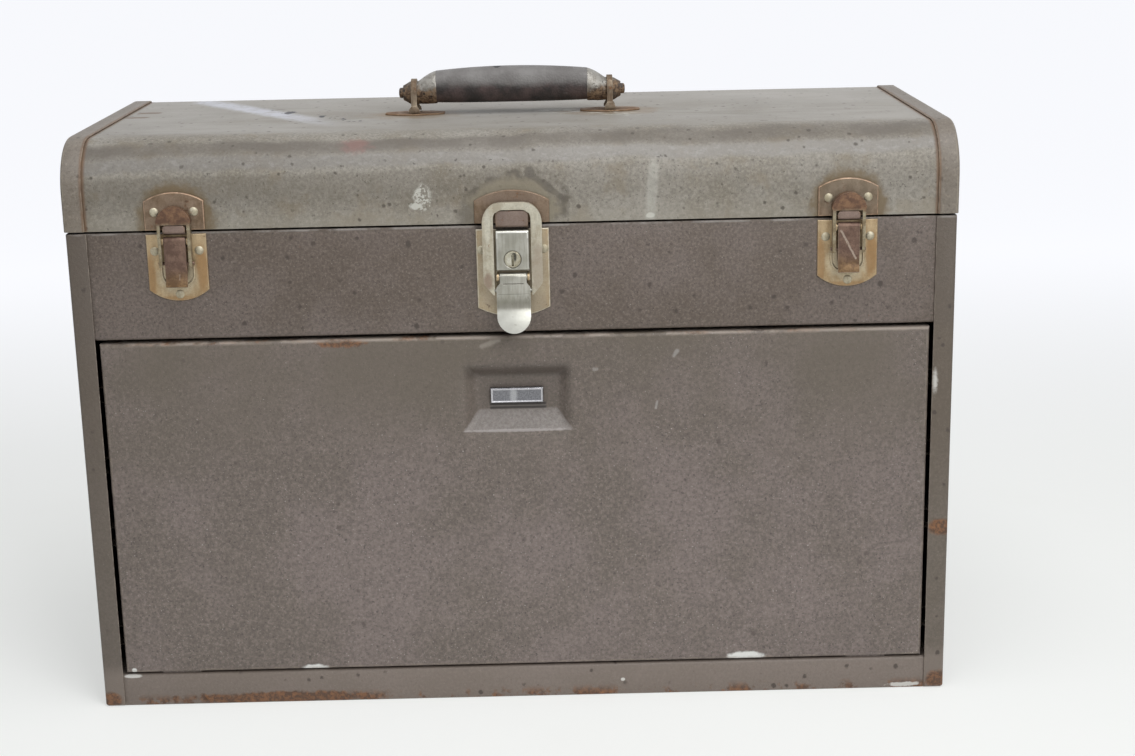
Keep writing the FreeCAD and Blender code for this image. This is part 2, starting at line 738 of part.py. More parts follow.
def centre_bail():
    """Forged strap that hooks over the centre catch and swings on the flap's pin."""
    back = BAIL_FRONT + BAIL_THICKNESS
    outer = slab_y(
        outline([
            (-BAIL_FOOT_HALF, BAIL_FOOT), (BAIL_FOOT_HALF, BAIL_FOOT),
            (BAIL_HALF, BAIL_WAIST, 5.0), (BAIL_HALF, BAIL_TOP, 12.0),
            (-BAIL_HALF, BAIL_TOP, 12.0), (-BAIL_HALF, BAIL_WAIST, 5.0),
        ]), BAIL_FRONT, back)
    inner = slab_y(
        outline([
            (-BAIL_INNER_HALF, BAIL_FOOT - 5), (BAIL_INNER_HALF, BAIL_FOOT - 5),
            (BAIL_INNER_HALF, BAIL_INNER_TOP, 5.0), (-BAIL_INNER_HALF, BAIL_INNER_TOP, 5.0),
        ]), BAIL_FRONT - 1, back + 1)
    eyes = rod_x(-BAIL_PIN_HALF - 0.2, BAIL_PIN_HALF + 0.2, BAIL_Y, BAIL_Z, LATCH_PIN + RUNNING)
    return outer.cut(inner).cut(eyes)


def latch_pins():
    """Pins on which the three levers turn, set in the plates' ears."""
    side = rod_x(-EAR_SIDE, EAR_SIDE, LEVER_Y, LEVER_Z, LATCH_PIN)
    centre = rod_x(-EAR_CENTRE, EAR_CENTRE, FLAP_Y, FLAP_Z, LATCH_PIN)
    return group([shift(side, -SIDE_LATCH_X), shift(side, SIDE_LATCH_X), centre])


# ---------------------------------------------------------------- handle


def handle_plates():
    """Oval base plates under the two handle loops."""
    left, right = Vector(-HANDLE_PLATE_HALF_X, 0, 0), Vector(HANDLE_PLATE_HALF_X, 0, 0)
    rim = [
        Part.Arc(left, Vector(0, -HANDLE_PLATE_HALF_Y, 0), right).toShape(),
        Part.Arc(right, Vector(0, HANDLE_PLATE_HALF_Y, 0), left).toShape(),
    ]
    plate = Part.Face(Part.Wire(rim)).extrude(Vector(0, 0, HANDLE_PLATE_THICKNESS))
    plate = plate.common(box(-HANDLE_PLATE_END, HANDLE_PLATE_END, -20, 20, -1, 5))
    plate = round_edges(
        plate, HANDLE_PLATE_TIP,
        lambda b: b.ZLength > 1 and abs(b.Center.x) > HANDLE_PLATE_END - 1)
    plates = [shift(plate, x, HANDLE_Y, LID_SKIN_TOP) for x in (-HANDLE_X, HANDLE_X)]
    return group(plates).cut(loop_slots(LID_TOP - 10, LID_TOP + 5))


def handle_loop():
    """Strap bent over the grip's neck: flared feet on the plate, legs through the lid, keeper."""
    outer_radius = LOOP_INNER + LOOP_STRAP
    seat = LID_SKIN_TOP + HANDLE_PLATE_THICKNESS
    keeper_top = LID_SKIN_TOP - SHEET - LOOP_LIFT
    keeper_bottom = keeper_top - 1.6
    half = LOOP_WIDTH / 2
    ring = rod_x(-half, half, HANDLE_Y, HANDLE_Z, outer_radius)
    body = join([
        ring,
        box(-half, half, HANDLE_Y - outer_radius, HANDLE_Y + outer_radius, keeper_bottom, HANDLE_Z),
    ])
    hollow = join([
        rod_x(-half - 1, half + 1, HANDLE_Y, HANDLE_Z, LOOP_INNER),
        box(-half - 1, half + 1, HANDLE_Y - LOOP_INNER, HANDLE_Y + LOOP_INNER, keeper_top, HANDLE_Z),
    ])
    strap = body.cut(hollow)
    foot_outline = outline([
        (-3.6, seat), (3.6, seat), (3.3, seat + 1.8), (half, seat + 4.2), (-half, seat + 4.2),
        (-3.3, seat + 1.8),
    ])
    parts = [strap]
    for y0, y1 in (
        (HANDLE_Y - outer_radius - 0.4, HANDLE_Y - LOOP_INNER),
        (HANDLE_Y + LOOP_INNER, HANDLE_Y + outer_radius + 0.4),
    ):
        parts.append(slab_y(foot_outline, y0, y1))
    parts.append(box(-3.0, 3.0, HANDLE_Y - 10.5, HANDLE_Y + 10.5, keeper_bottom, keeper_top))
    return join(parts)


def grip_section(x, top, bottom, half_y):
    """Rounded section of the grip at x: broad below the middle, fully round on top."""
    height = top - bottom
    radius = min(half_y, height / 2) * 0.92
    low = radius * 0.72
    edges = outline([
        (HANDLE_Y - half_y, bottom, low), (HANDLE_Y + half_y, bottom, low),
        (HANDLE_Y + half_y, top, radius), (HANDLE_Y - half_y, top, radius),
    ])
    wire = Part.Wire(Part.__sortEdges__(edges))
    wire.rotate(Vector(0, 0, 0), Vector(1, 1, 1), 120)
    wire.translate(Vector(x, 0, 0))
    return wire


def handle_grip():
    """Leather-covered grip: flat below, arched above, thinner at both ends."""
    stations = 5
    sections = []
    for i in range(stations):
        t = -1 + 2 * i / (stations - 1)
        top = GRIP_TOP - (GRIP_TOP - GRIP_END_TOP) * t * t
        sections.append(grip_section(GRIP_HALF * t, top, GRIP_BOTTOM, GRIP_HALF_Y - 0.8 * t * t))
    return Part.makeLoft(sections, True, True)


def handle_ferrules():
    """Tapered metal ends of the grip, with the necks that turn in the loops."""
    neck = LOOP_INNER - 0.4
    root, end = Vector(GRIP_HALF, HANDLE_Y, FERRULE_Z), Vector(NECK_START, HANDLE_Y, HANDLE_Z)
    lean = end - root
    run_in = 0.4  # the cone starts inside the grip's end plane and is trimmed flush with it
    start_radius = FERRULE_RADIUS + (FERRULE_RADIUS - neck) * run_in
    shoulder = Part.makeCone(
        start_radius, neck, lean.Length * (1 + run_in), root - lean * run_in, lean)
    shoulder = shoulder.common(box(GRIP_HALF, NECK_START, -20, 30, 340, 380))
    shank = rod_x(NECK_START - 1.5, NECK_END, HANDLE_Y, HANDLE_Z, neck)
    nose = Part.makeCone(
        neck - 0.2, NOSE_RADIUS, FERRULE_END - NECK_END, Vector(NECK_END, HANDLE_Y, HANDLE_Z),
        Vector(1, 0, 0))
    return both(join([shoulder, shank, nose]))


# ---------------------------------------------------------------- front panel and drawers


def dent_solid(y, depth, grow):
    """Tapered block that fills the finger dent from y inwards, grown all round."""
    return Part.makeWedge(
        -DENT_HALF - grow, y, DENT_BOTTOM - grow,
        DENT_FLOOR_BOTTOM - grow, -DENT_FLOOR_HALF - grow,
        DENT_HALF + grow, y + depth, DENT_TOP + grow,
        DENT_FLOOR_TOP + grow, DENT_FLOOR_HALF + grow)


def front_panel():
    """Lift-out panel: a pan with folded edges, a finger dent, and two feet on the rail."""
    half, low, high = PANEL_HALF, PANEL_BOTTOM, PANEL_TOP
    back = PANEL_FACE + PANEL_THICKNESS
    outer = round_edges(
        box(-half, half, PANEL_FACE, back, low, high), BEND,
        lambda b: b.YMax < PANEL_FACE + 0.01)
    inner = box(
        -half + SHEET, half - SHEET, PANEL_FACE + SHEET, back + 5, low + SHEET, high - SHEET)
    dent = dent_solid(PANEL_FACE, DENT_DEPTH, 0.0)
    behind = dent_solid(PANEL_FACE + SHEET / 2, DENT_DEPTH + SHEET / 2, SHEET)
    shell = join([outer.cut(inner), behind]).cut(dent)
    foot = box(
        PANEL_FOOT_X, PANEL_FOOT_X + PANEL_FOOT_WIDTH, PANEL_FACE + 2.5, back - SHEET,
        RAIL_HEIGHT, low + SHEET / 2)
    return join([shell, foot, mirror(foot)])


def nameplate():
    """Plain bright bar on the floor of the dent."""
    floor = PANEL_FACE + DENT_DEPTH
    plate = box(
        -NAMEPLATE_HALF, NAMEPLATE_HALF, floor - NAMEPLATE_THICKNESS, floor, NAMEPLATE_BOTTOM,
        NAMEPLATE_TOP)
    return break_edges(plate, 0.6, lambda b: b.YMax < floor - NAMEPLATE_THICKNESS + 0.01)


def drawer(x0, x1, floor, height):
    """Folded drawer, its front of double thickness."""
    outer = box(x0, x1, DRAWER_FRONT, DRAWER_BACK, floor, floor + height)
    inner = box(
        x0 + DRAWER_SHEET, x1 - DRAWER_SHEET, DRAWER_FRONT + 2 * DRAWER_SHEET,
        DRAWER_BACK - DRAWER_SHEET, floor + DRAWER_SHEET, floor + height + 5)
    return outer.cut(inner)


def drawer_pull(x, z):
    """Half-round cup pull, open below for the fingertips."""
    back = DRAWER_FRONT
    front = back - PULL_REACH
    half = PULL_LENGTH / 2
    shell = slab_x(
        outline([
            (back, z - PULL_HEIGHT / 2),
            (back, z + PULL_HEIGHT / 2),
            (front, z + PULL_HEIGHT / 2, 3.0),
            (front, z - PULL_HEIGHT / 2),
        ]), x - half, x + half)
    wall = 1.1
    hollow = slab_x(
        outline([
            (back - wall, z - PULL_HEIGHT / 2 - 2),
            (back - wall, z + PULL_HEIGHT / 2 - wall),
            (front + wall, z + PULL_HEIGHT / 2 - wall),
            (front + wall, z - PULL_HEIGHT / 2 - 2),
        ]), x - half + wall, x + half - wall)
    return shell.cut(hollow)


def drawers():
    """The wide bottom drawer and three rows of two small ones, numbered from the bottom."""
    places = [(-DRAWER_SIDE, DRAWER_SIDE, WIDE_FLOOR, WIDE_DRAWER_HEIGHT)]
    inner = DIVIDER_HALF + 0.6
    for floor in ROW_FLOORS:
        places.append((-DRAWER_SIDE, -inner, floor, SMALL_DRAWER_HEIGHT))
        places.append((inner, DRAWER_SIDE, floor, SMALL_DRAWER_HEIGHT))
    nodes = {}
    for number, (x0, x1, floor, height) in enumerate(places, 1):
        nodes[f"drawer_{number}"] = drawer(x0, x1, floor, height)
        nodes[f"drawer_{number}_pull"] = drawer_pull((x0 + x1) / 2, floor + height * 0.62)
    return nodes


# ---------------------------------------------------------------- all nodes


def build():
    case_stud, lid_stud = stay_points()
    right_end, right_lid_end, right_stay = end_panel(), lid_end(), lid_stay()
    plate, lever, link, loop = side_latch_plate(), side_lever(), side_link(), handle_loop()
    side_hook = hook(CATCH_HALF, CATCH_TOP, CATCH_REACH, 1.2, 0.4)
    centre_hook = hook(CENTRE_CATCH_HALF, CENTRE_CATCH_TOP, CENTRE_CATCH_REACH, 1.6, 1.0)
    side_strike = strike(SIDE_PLATE_HALF, SIDE_STRIKE_CORNER, SIDE_STRIKE_TIP, side_hook)
    sides = (-SIDE_LATCH_X, SIDE_LATCH_X)
    nodes = {
        "left_end_panel": mirror(right_end),
        "right_end_panel": right_end,
        "back_and_bottom": back_and_bottom(),
        "till_front": till_front(),
        "bottom_rail": bottom_rail(),
        "till_floor": till_floor(),
        "till_felt": till_felt(),
        "drawer_shelf": shelf(DRAWER_SHELF, 7.0),
        "panel_slot_shelf": shelf(SLOT_SHELF, 9.0),
        "panel_slot_guides": panel_slot_guides(),
        "centre_divider": centre_divider(),
        "drawer_runners": drawer_runners(),
        "hinge_case_leaf": hinge_leaf(False),
        "hinge_lid_leaf": hinge_leaf(True),
        "hinge_pin": hinge_pin(),
        "lid_stay_left": mirror(right_stay),
        "lid_stay_right": right_stay,
        "lid_cover": lid_cover(),
        "lid_end_left": mirror(right_lid_end),
        "lid_end_right": right_lid_end,
        "side_latch_plates": group([shift(plate, x) for x in sides]),
        "side_strikes": group([shift(side_strike, x) for x in sides]),
        "centre_latch_plate": centre_latch_plate(),
        "centre_strike": strike(
            CENTRE_STRIKE_HALF, CENTRE_STRIKE_CORNER, CENTRE_STRIKE_TIP, centre_hook),
        "centre_lever": centre_lever(),
        "centre_bail": centre_bail(),
        "lock_case": lock_case(),
        "lock_plug": lock_plug(),
        "latch_pins": latch_pins(),
        "case_studs": both(stay_stud(WALL, *case_stud)),
        "lid_studs": both(stay_stud(LID_HALF - SHEET, *lid_stud)),
        "handle_plates": handle_plates(),
        "handle_grip": handle_grip(),
        "handle_ferrules": handle_ferrules(),
        "front_panel": front_panel(),
        "nameplate": nameplate(),
    }
    for side, sign in (("left", -1), ("right", 1)):
        nodes[f"side_lever_{side}"] = shift(lever, sign * SIDE_LATCH_X)
        nodes[f"side_link_{side}"] = shift(link, sign * SIDE_LATCH_X)
        nodes[f"handle_loop_{side}"] = shift(loop, sign * HANDLE_X)
    nodes.update(drawers())
    return nodes


os.makedirs("parts", exist_ok=True)
for name, shape in build().items():
    shape.exportStep(f"parts/{name}.step")
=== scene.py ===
import json
import math

import bmesh
import bpy
from mathutils import Matrix, Vector


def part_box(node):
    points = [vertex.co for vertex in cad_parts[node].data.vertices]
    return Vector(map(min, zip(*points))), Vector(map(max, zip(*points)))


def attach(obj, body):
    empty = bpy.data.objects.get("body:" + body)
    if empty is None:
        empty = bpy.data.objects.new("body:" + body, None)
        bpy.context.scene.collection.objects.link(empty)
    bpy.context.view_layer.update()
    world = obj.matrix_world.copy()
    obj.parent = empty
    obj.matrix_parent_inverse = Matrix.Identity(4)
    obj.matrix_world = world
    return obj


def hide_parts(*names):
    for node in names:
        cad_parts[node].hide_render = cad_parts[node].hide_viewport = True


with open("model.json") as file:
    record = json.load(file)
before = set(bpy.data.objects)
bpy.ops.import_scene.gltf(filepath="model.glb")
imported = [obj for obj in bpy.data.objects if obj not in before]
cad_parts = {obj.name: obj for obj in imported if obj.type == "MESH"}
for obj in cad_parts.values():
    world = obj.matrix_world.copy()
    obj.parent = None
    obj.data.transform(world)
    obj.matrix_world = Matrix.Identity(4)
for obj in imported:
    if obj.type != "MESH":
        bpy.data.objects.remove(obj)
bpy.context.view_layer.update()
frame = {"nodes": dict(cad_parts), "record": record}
record = frame["record"]
slot_of = {part["node"]: part["material_slot"] for part in record["subparts"]}
body_of = {node: body for body, nodes in record["behaviour"]["bodies"].items() for node in nodes}

MM = 0.001

# Camera: the photograph's frame, focal length in its pixels, and the turn that faces the chest
FRAME_WIDTH = 1135
FOCAL_PIXELS = 1917.6
SENSOR_WIDTH = 36.0  # mm
CAMERA_ROLL, CAMERA_PITCH, CAMERA_YAW = -0.0207, 0.2543, 0.0071
CHEST_FROM_CAMERA = Vector((-27.25, 1275.5, -167.4)) * MM  # right, ahead, up

FRONT = Vector((0, -1, 0))

# Places that the paint marks and fittings share, in mm
SIDE_X = 192.5
SIDES = (-SIDE_X, SIDE_X)  # the side latches
CASE_Y, PANEL_Y, LID_Y = -108.0, -107.5, -108.6  # fronts
LID_TOP = 343.0


# ---------------------------------------------------------------- procedural materials


class Look:
    """One node material, patterned in the object's own space, in metres."""

    def __init__(self, name):
        self.material = bpy.data.materials.new(name)
        self.material.use_nodes = True
        self.tree = self.material.node_tree
        self.shader = self.tree.nodes["Principled BSDF"]
        self.coords = self.tree.nodes.new("ShaderNodeTexCoord")
        self.point = self.coords.outputs["Object"]
        self.x, self.y, self.z = self.node("ShaderNodeSeparateXYZ", {0: self.point}).outputs
        self.colour = None  # the paint so far

    def node(self, kind, inputs=(), **settings):
        made = self.tree.nodes.new(kind)
        for key, value in settings.items():
            setattr(made, key, value)
        for key, value in dict(inputs).items():
            self.feed(made.inputs[key], value)
        return made

    def feed(self, socket, value):
        if isinstance(value, bpy.types.NodeSocket):
            self.tree.links.new(value, socket)
        elif socket.type == "RGBA" and len(value) == 3:
            socket.default_value = (*value, 1.0)
        else:
            socket.default_value = value

    def noise(self, size, detail=3.0, roughness=0.55, stretch=None, seed=0.0):
        """Fractal noise whose features are about size metres across."""
        point = self.point
        if stretch is not None:
            point = self.vector("MULTIPLY", point, stretch)
        if seed:
            point = self.vector("ADD", point, (seed, seed * 0.7, seed * 1.3))
        made = self.node("ShaderNodeTexNoise", {
            "Vector": point, "Scale": 1.0 / size, "Detail": detail, "Roughness": roughness})
        return made.outputs["Fac"]

    def cells(self, size, seed=0.0):
        """Distance to the nearest of scattered points, in cells of about size metres."""
        point = self.vector("ADD", self.point, (seed, seed * 0.7, seed * 1.3))
        made = self.node("ShaderNodeTexVoronoi", {"Vector": point, "Scale": 1.0 / size})
        return made.outputs["Distance"]

    def math(self, operation, a, b=0.0, clamp=False):
        made = self.node("ShaderNodeMath", {0: a, 1: b}, operation=operation, use_clamp=clamp)
        return made.outputs[0]

    def plus(self, a, b):
        return self.math("ADD", a, b)

    def less(self, a, b):
        return self.math("SUBTRACT", a, b)

    def vector(self, operation, a, b=(0, 0, 0), output=0):
        made = self.node("ShaderNodeVectorMath", {0: a, 1: b}, operation=operation)
        return made.outputs[output]

    def band(self, value, start, end):
        """0 at start and 1 at end, smoothly; start may be the larger."""
        made = self.node("ShaderNodeMapRange", {
            "Value": value, "From Min": start, "From Max": end}, interpolation_type="SMOOTHSTEP")
        return made.outputs["Result"]

    def span(self, value, low, full, last, high):
        """1 from full to last, fading to 0 at low and at high."""
        return self.times(self.band(value, low, full), self.band(value, high, last))

    def cloud(self, start, end, size, detail=5.0, roughness=0.7, **more):
        """Noise drawn out to 0 below start and 1 above end."""
        return self.band(self.noise(size, detail, roughness, **more), start, end)

    def mix(self, factor, a, b):
        made = self.node("ShaderNodeMix", data_type="RGBA")
        self.feed(made.inputs["Factor"], factor)
        self.feed(made.inputs[6], a)
        self.feed(made.inputs[7], b)
        return made.outputs[2]

    def blend(self, factor, a, b):
        """The same for plain numbers."""
        made = self.node("ShaderNodeMix", {0: factor, 2: a, 3: b}, data_type="FLOAT")
        return made.outputs[0]

    def paint(self, mask, tone, strength=None):
        """Lay tone over the paint so far, where mask is 1."""
        if strength is not None:
            mask = self.times(mask, strength)
        self.colour = self.mix(mask, self.colour, tone)

    def times(self, *values):
        product = values[0]
        for value in values[1:]:
            product = self.math("MULTIPLY", product, value)
        return product

    def most(self, *values):
        result = values[0]
        for value in values[1:]:
            result = self.math("MAXIMUM", result, value)
        return result

    def facing(self, name):
        """How far the surface faces along an object axis."""
        return self.node("ShaderNodeSeparateXYZ", {0: self.coords.outputs["Normal"]}).outputs[name]

    def patch(self, centre, size, soft=0.25, ragged=0.35, grain=0.006):
        """A ragged ellipsoid: 1 inside, 0 outside. centre and size are in millimetres."""
        offset = self.vector("SUBTRACT", self.point, [v * MM for v in centre])
        scaled = self.vector("DIVIDE", offset, [v * MM for v in size])
        return self.within(self.vector("LENGTH", scaled, output="Value"), soft, ragged, grain)

    def streak(self, start, end, width, soft=0.4, ragged=0.6, grain=0.004):
        """A ragged line between two points; all in millimetres."""
        start, end = Vector(start) * MM, Vector(end) * MM
        along = end - start
        offset = self.vector("SUBTRACT", self.point, start)
        dot = self.vector("DOT_PRODUCT", offset, along, output="Value")
        share = self.math("DIVIDE", dot, along.length_squared, clamp=True)
        nearest = self.node("ShaderNodeVectorMath", {0: along}, operation="SCALE")
        self.feed(nearest.inputs["Scale"], share)
        gap = self.vector("SUBTRACT", offset, nearest.outputs[0])
        reach = self.math("DIVIDE", self.vector("LENGTH", gap, output="Value"), width * MM / 2)
        return self.within(reach, soft, ragged, grain)

    def within(self, reach, soft, ragged, grain):
        """1 where reach is under 1, with a soft and wandering edge."""
        wander = self.less(self.noise(grain, 4.0), 0.5)
        return self.band(self.plus(reach, self.times(wander, ragged * 2)), 1 + soft, 1 - soft)

    def edge_wear_and_highlight(self):
        """1 on the rounded edges of a piece, 0 elsewhere."""
        return self.node("ShaderNodeAttribute", attribute_name="edge").outputs["Fac"]

    def bump(self, height, depth):
        made = self.node("ShaderNodeBump", {"Height": height, "Distance": depth})
        self.feed(self.shader.inputs["Normal"], made.outputs["Normal"])

    def finish(self, roughness, metallic=0, **fixed):
        self.feed(self.shader.inputs["Base Color"], self.colour)
        self.feed(self.shader.inputs["Roughness"], roughness)
        self.feed(self.shader.inputs["Metallic"], metallic)
        for name, value in fixed.items():
            self.shader.inputs[name.replace("_", " ")].default_value = value
        return self.material


RUST_DARK = (0.075, 0.034, 0.016)
RUST = (0.20, 0.085, 0.032)
RUST_BRIGHT = (0.34, 0.15, 0.055)
BARE_STEEL = (0.46, 0.45, 0.42)


def rust_colour(look):
    tone = look.noise(0.0028, 5, 0.7)
    warm = look.mix(look.band(tone, 0.42, 0.58), RUST_DARK, RUST)
    return look.mix(look.band(tone, 0.6, 0.74), warm, RUST_BRIGHT)


def enamel(look, shade, light, fleck, fleck_share, contrast=0.5):
    """Hammertone enamel: cloudy colour, a mottled skin, pale flecks and dark pits. Gives its height."""
    cloud = look.cloud(0.38, 0.62, 0.06, 6, 0.62)
    look.colour = look.mix(cloud, shade, light)
    mottle = look.noise(0.0017, 4, 0.72, seed=1)
    look.paint(look.band(mottle, 0.52, 0.36), [v * 0.55 for v in shade], contrast)
    look.paint(look.band(mottle, 0.5, 0.66), [v * 1.5 for v in light], contrast)
    fine = look.noise(0.0011, 2, 0.6, seed=2)
    density = look.cloud(0.34, 0.6, 0.05, 3, 0.55, seed=3)
    pale = look.band(fine, 0.7 - fleck_share, 0.76 - fleck_share)
    look.paint(look.times(pale, look.blend(density, 0.25, 0.95)), fleck)
    pits = look.cloud(0.64, 0.7, 0.0016, 2, 0.6, seed=5)
    look.paint(pits, [v * 0.35 for v in shade], 0.7)
    return look.plus(mottle, look.times(fine, 0.45))


def worn_edges(look, tone, amount):
    """Paint rubbed through along the folded and cut edges."""
    broken = look.cloud(0.4, 0.6, 0.0075, seed=7)
    worn = look.times(look.edge_wear_and_highlight(), broken, amount)
    look.paint(worn, tone)
    return worn


def dark_specks(look, tone, amount, size=0.011, share=0.5):
    """Scattered soft specks where the paint has worn through and gone dark."""
    swell = look.times(look.noise(0.011, 2, seed=6), 0.22)
    tatter = look.times(look.noise(0.0022, 3, 0.7), 0.24)
    edge = look.less(look.plus(swell, tatter), 0.08)
    near = look.less(edge, look.cells(size, seed=2))
    spots = look.band(near, -0.02, 0.08)
    keep = look.cloud(0.62 - share * 0.3, 0.7 - share * 0.3, 0.032, 3, 0.55, seed=4)
    look.paint(look.times(spots, keep, amount), tone)


def satin(look, rust, worn):
    """Roughness of the outside enamel, dull where it has rusted or worn through."""
    return look.blend(look.most(rust, worn), look.blend(look.noise(0.03), 0.42, 0.6), 0.78)


def case_paint():
    look = Look("case_paint")
    height = enamel(look, (0.112, 0.087, 0.068), (0.15, 0.121, 0.105), (0.34, 0.31, 0.28), 0.02)
    flank = look.band(look.math("ABSOLUTE", look.x), 0.243, 0.2445)
    look.paint(flank, (0.112, 0.096, 0.074), 0.55)
    # painted shade: the flanges darker towards the top
    upper = look.times(flank, look.band(look.z, 0.06, 0.2))
    look.paint(upper, (0.085, 0.064, 0.044), 0.45)
    # painted shade: the left flange darker than the right
    left = look.band(look.x, -0.24, -0.2445)
    look.paint(left, (0.06, 0.047, 0.038), 0.3)
    # painted shade: the case darker from the till front upwards
    till = look.band(look.z, 0.222, 0.232)
    look.paint(till, (0.07, 0.054, 0.044), 0.2)
    # painted light: lighter near the bottom, standing in for light bounced up from the floor
    rail = look.band(look.z, 0.03, 0.018)
    look.paint(rail, (0.2, 0.166, 0.142), 0.65)
    dark_specks(look, (0.046, 0.034, 0.027), 0.85, share=0.8)
    foot = look.band(look.z, 0.008, 0.001)
    rust = look.most(
        look.patch((251, CASE_Y, 103.2), (7, 5, 5)), look.patch((251.5, CASE_Y, 5), (7, 5, 6)),
        look.patch((-251.5, CASE_Y, 4), (6, 5, 5)), look.patch((-150, -107, 3), (60, 3, 3.5), ragged=0.9),
        look.times(foot, look.cloud(0.48, 0.56, 0.016, seed=9)),
        look.times(look.cloud(0.685, 0.72, 0.012, 6, 0.75, seed=12), 0.8))
    look.paint(rust, rust_colour(look), 0.8)
    chips = look.most(
        look.times(
            look.patch((245.3, CASE_Y, 193.6), (1.35, 4, 5.8), soft=0.7, ragged=0.9, grain=0.002), 0.8),
        look.patch((60, -107, 9.5), (1.2, 2, 1), grain=0.003),
        look.patch((-238, -107, 19), (5, 2, 1.2), grain=0.003),
        look.patch((232, -107, 2), (9, 2, 1.4), ragged=0.7, grain=0.003))
    look.paint(chips, (0.56, 0.55, 0.52))
    # painted highlight along the till's hemmed top edge, broken up
    hem_highlight = look.times(look.band(look.z, 0.2898, 0.2912), look.cloud(0.42, 0.58, 0.03, seed=14))
    look.paint(hem_highlight, (0.36, 0.34, 0.32), 0.7)
    worn = worn_edges(look, (0.26, 0.225, 0.185), 0.6)
    look.bump(height, 0.00022)
    return look.finish(satin(look, rust, worn))


def panel_paint():
    look = Look("panel_paint")
    height = enamel(look, (0.128, 0.105, 0.089), (0.16, 0.13, 0.118), (0.44, 0.41, 0.385), 0.05)
    # painted shade: the upper part of the panel darker, in clouds
    dull = look.times(look.band(look.z, 0.12, 0.215), look.cloud(0.3, 0.6, 0.11, 4, 0.55))
    look.paint(dull, (0.112, 0.093, 0.07), 0.75)
    # the dent: painted light on its lower slope, painted shade in its hollow and under its brow, and a
    # painted shadow under the nameplate
    reach = look.math("ABSOLUTE", look.less(look.x, 0.0005))
    z = look.z
    slope = look.times(
        look.span(z, 0.1683, 0.1693, 0.1795, 0.1815),
        look.band(look.plus(reach, look.times(z, 0.8)), 0.1685, 0.1665))
    slope_light_grain = look.blend(look.cloud(0.36, 0.64, 0.0016, 5, 0.78, seed=45), 0.26, 0.62)
    look.paint(look.times(slope, slope_light_grain), (0.3, 0.28, 0.268))
    # painted shade in the dent's hollow
    hollow = look.times(look.span(z, 0.1795, 0.1815, 0.199, 0.202), look.band(reach, 0.0235, 0.0215))
    look.paint(hollow, (0.06, 0.05, 0.04), 0.12)
    # painted shadow under the nameplate, with a darker line in it
    under = look.times(look.span(z, 0.18, 0.1808, 0.1838, 0.1846), look.band(reach, 0.0172, 0.016))
    line = look.span(z, 0.1816, 0.182, 0.1824, 0.1828)
    shade = look.mix(line, (0.022, 0.018, 0.016), (0.11, 0.096, 0.088))
    look.paint(under, shade, 0.88)
    # painted shade under the dent's brow
    brow = look.times(look.span(z, 0.1985, 0.202, 0.2045, 0.213), look.band(reach, 0.034, 0.026))
    look.paint(brow, (0.045, 0.034, 0.026), 0.55)
    dark_specks(look, (0.06, 0.047, 0.038), 0.6, share=0.2)
    top = look.band(look.z, 0.2243, 0.2257)
    rust = look.most(
        look.times(top, look.cloud(0.5, 0.6, 0.022)),
        look.patch((-101.8, PANEL_Y, 225), (15, 3, 3.4), ragged=0.7))
    look.paint(rust, rust_colour(look), 0.75)
    # worn paint and a painted highlight along the rounded top edge
    bare = look.times(top, look.cloud(0.4, 0.52, 0.03, seed=19))
    look.paint(bare, (0.45, 0.39, 0.34), 0.55)
    chips = look.most(
        look.patch((-126.5, PANEL_Y, 21.6), (7.5, 4, 2.6), grain=0.003),
        look.patch((134.4, PANEL_Y, 23), (10.5, 4, 3), grain=0.003),
        look.times(
            look.streak((81.4, PANEL_Y, 180.8), (82.4, PANEL_Y, 185), 0.9, soft=0.8, ragged=1.8), 0.22),
        look.times(
            look.streak((92.2, PANEL_Y, 211.8), (94.2, PANEL_Y, 215.2), 1.6, soft=0.9, ragged=1.6), 0.22),
        look.times(look.patch((46.3, PANEL_Y, 205.1), (1.6, 3, 1.2), ragged=1.1, grain=0.0015), 0.16),
        look.patch((-236.5, PANEL_Y, 22.8), (1.5, 3, 1.5), grain=0.002))
    look.paint(chips, (0.64, 0.65, 0.63))
    scrape = look.streak((-20, PANEL_Y, 220.4), (-10, PANEL_Y, 223.6), 2.2, soft=0.9, ragged=1.6)
    look.paint(scrape, (0.36, 0.33, 0.28), 0.4)
    # painted highlight along the dent's lower lip
    lip = look.times(look.patch((0.5, -107, 169), (30, 3, 0.8), ragged=0.6, grain=0.002), 0.45)
    look.paint(lip, (0.42, 0.39, 0.38))
    worn = worn_edges(look, (0.3, 0.25, 0.2), 0.45)
    look.bump(height, 0.00024)
    return look.finish(satin(look, rust, worn))


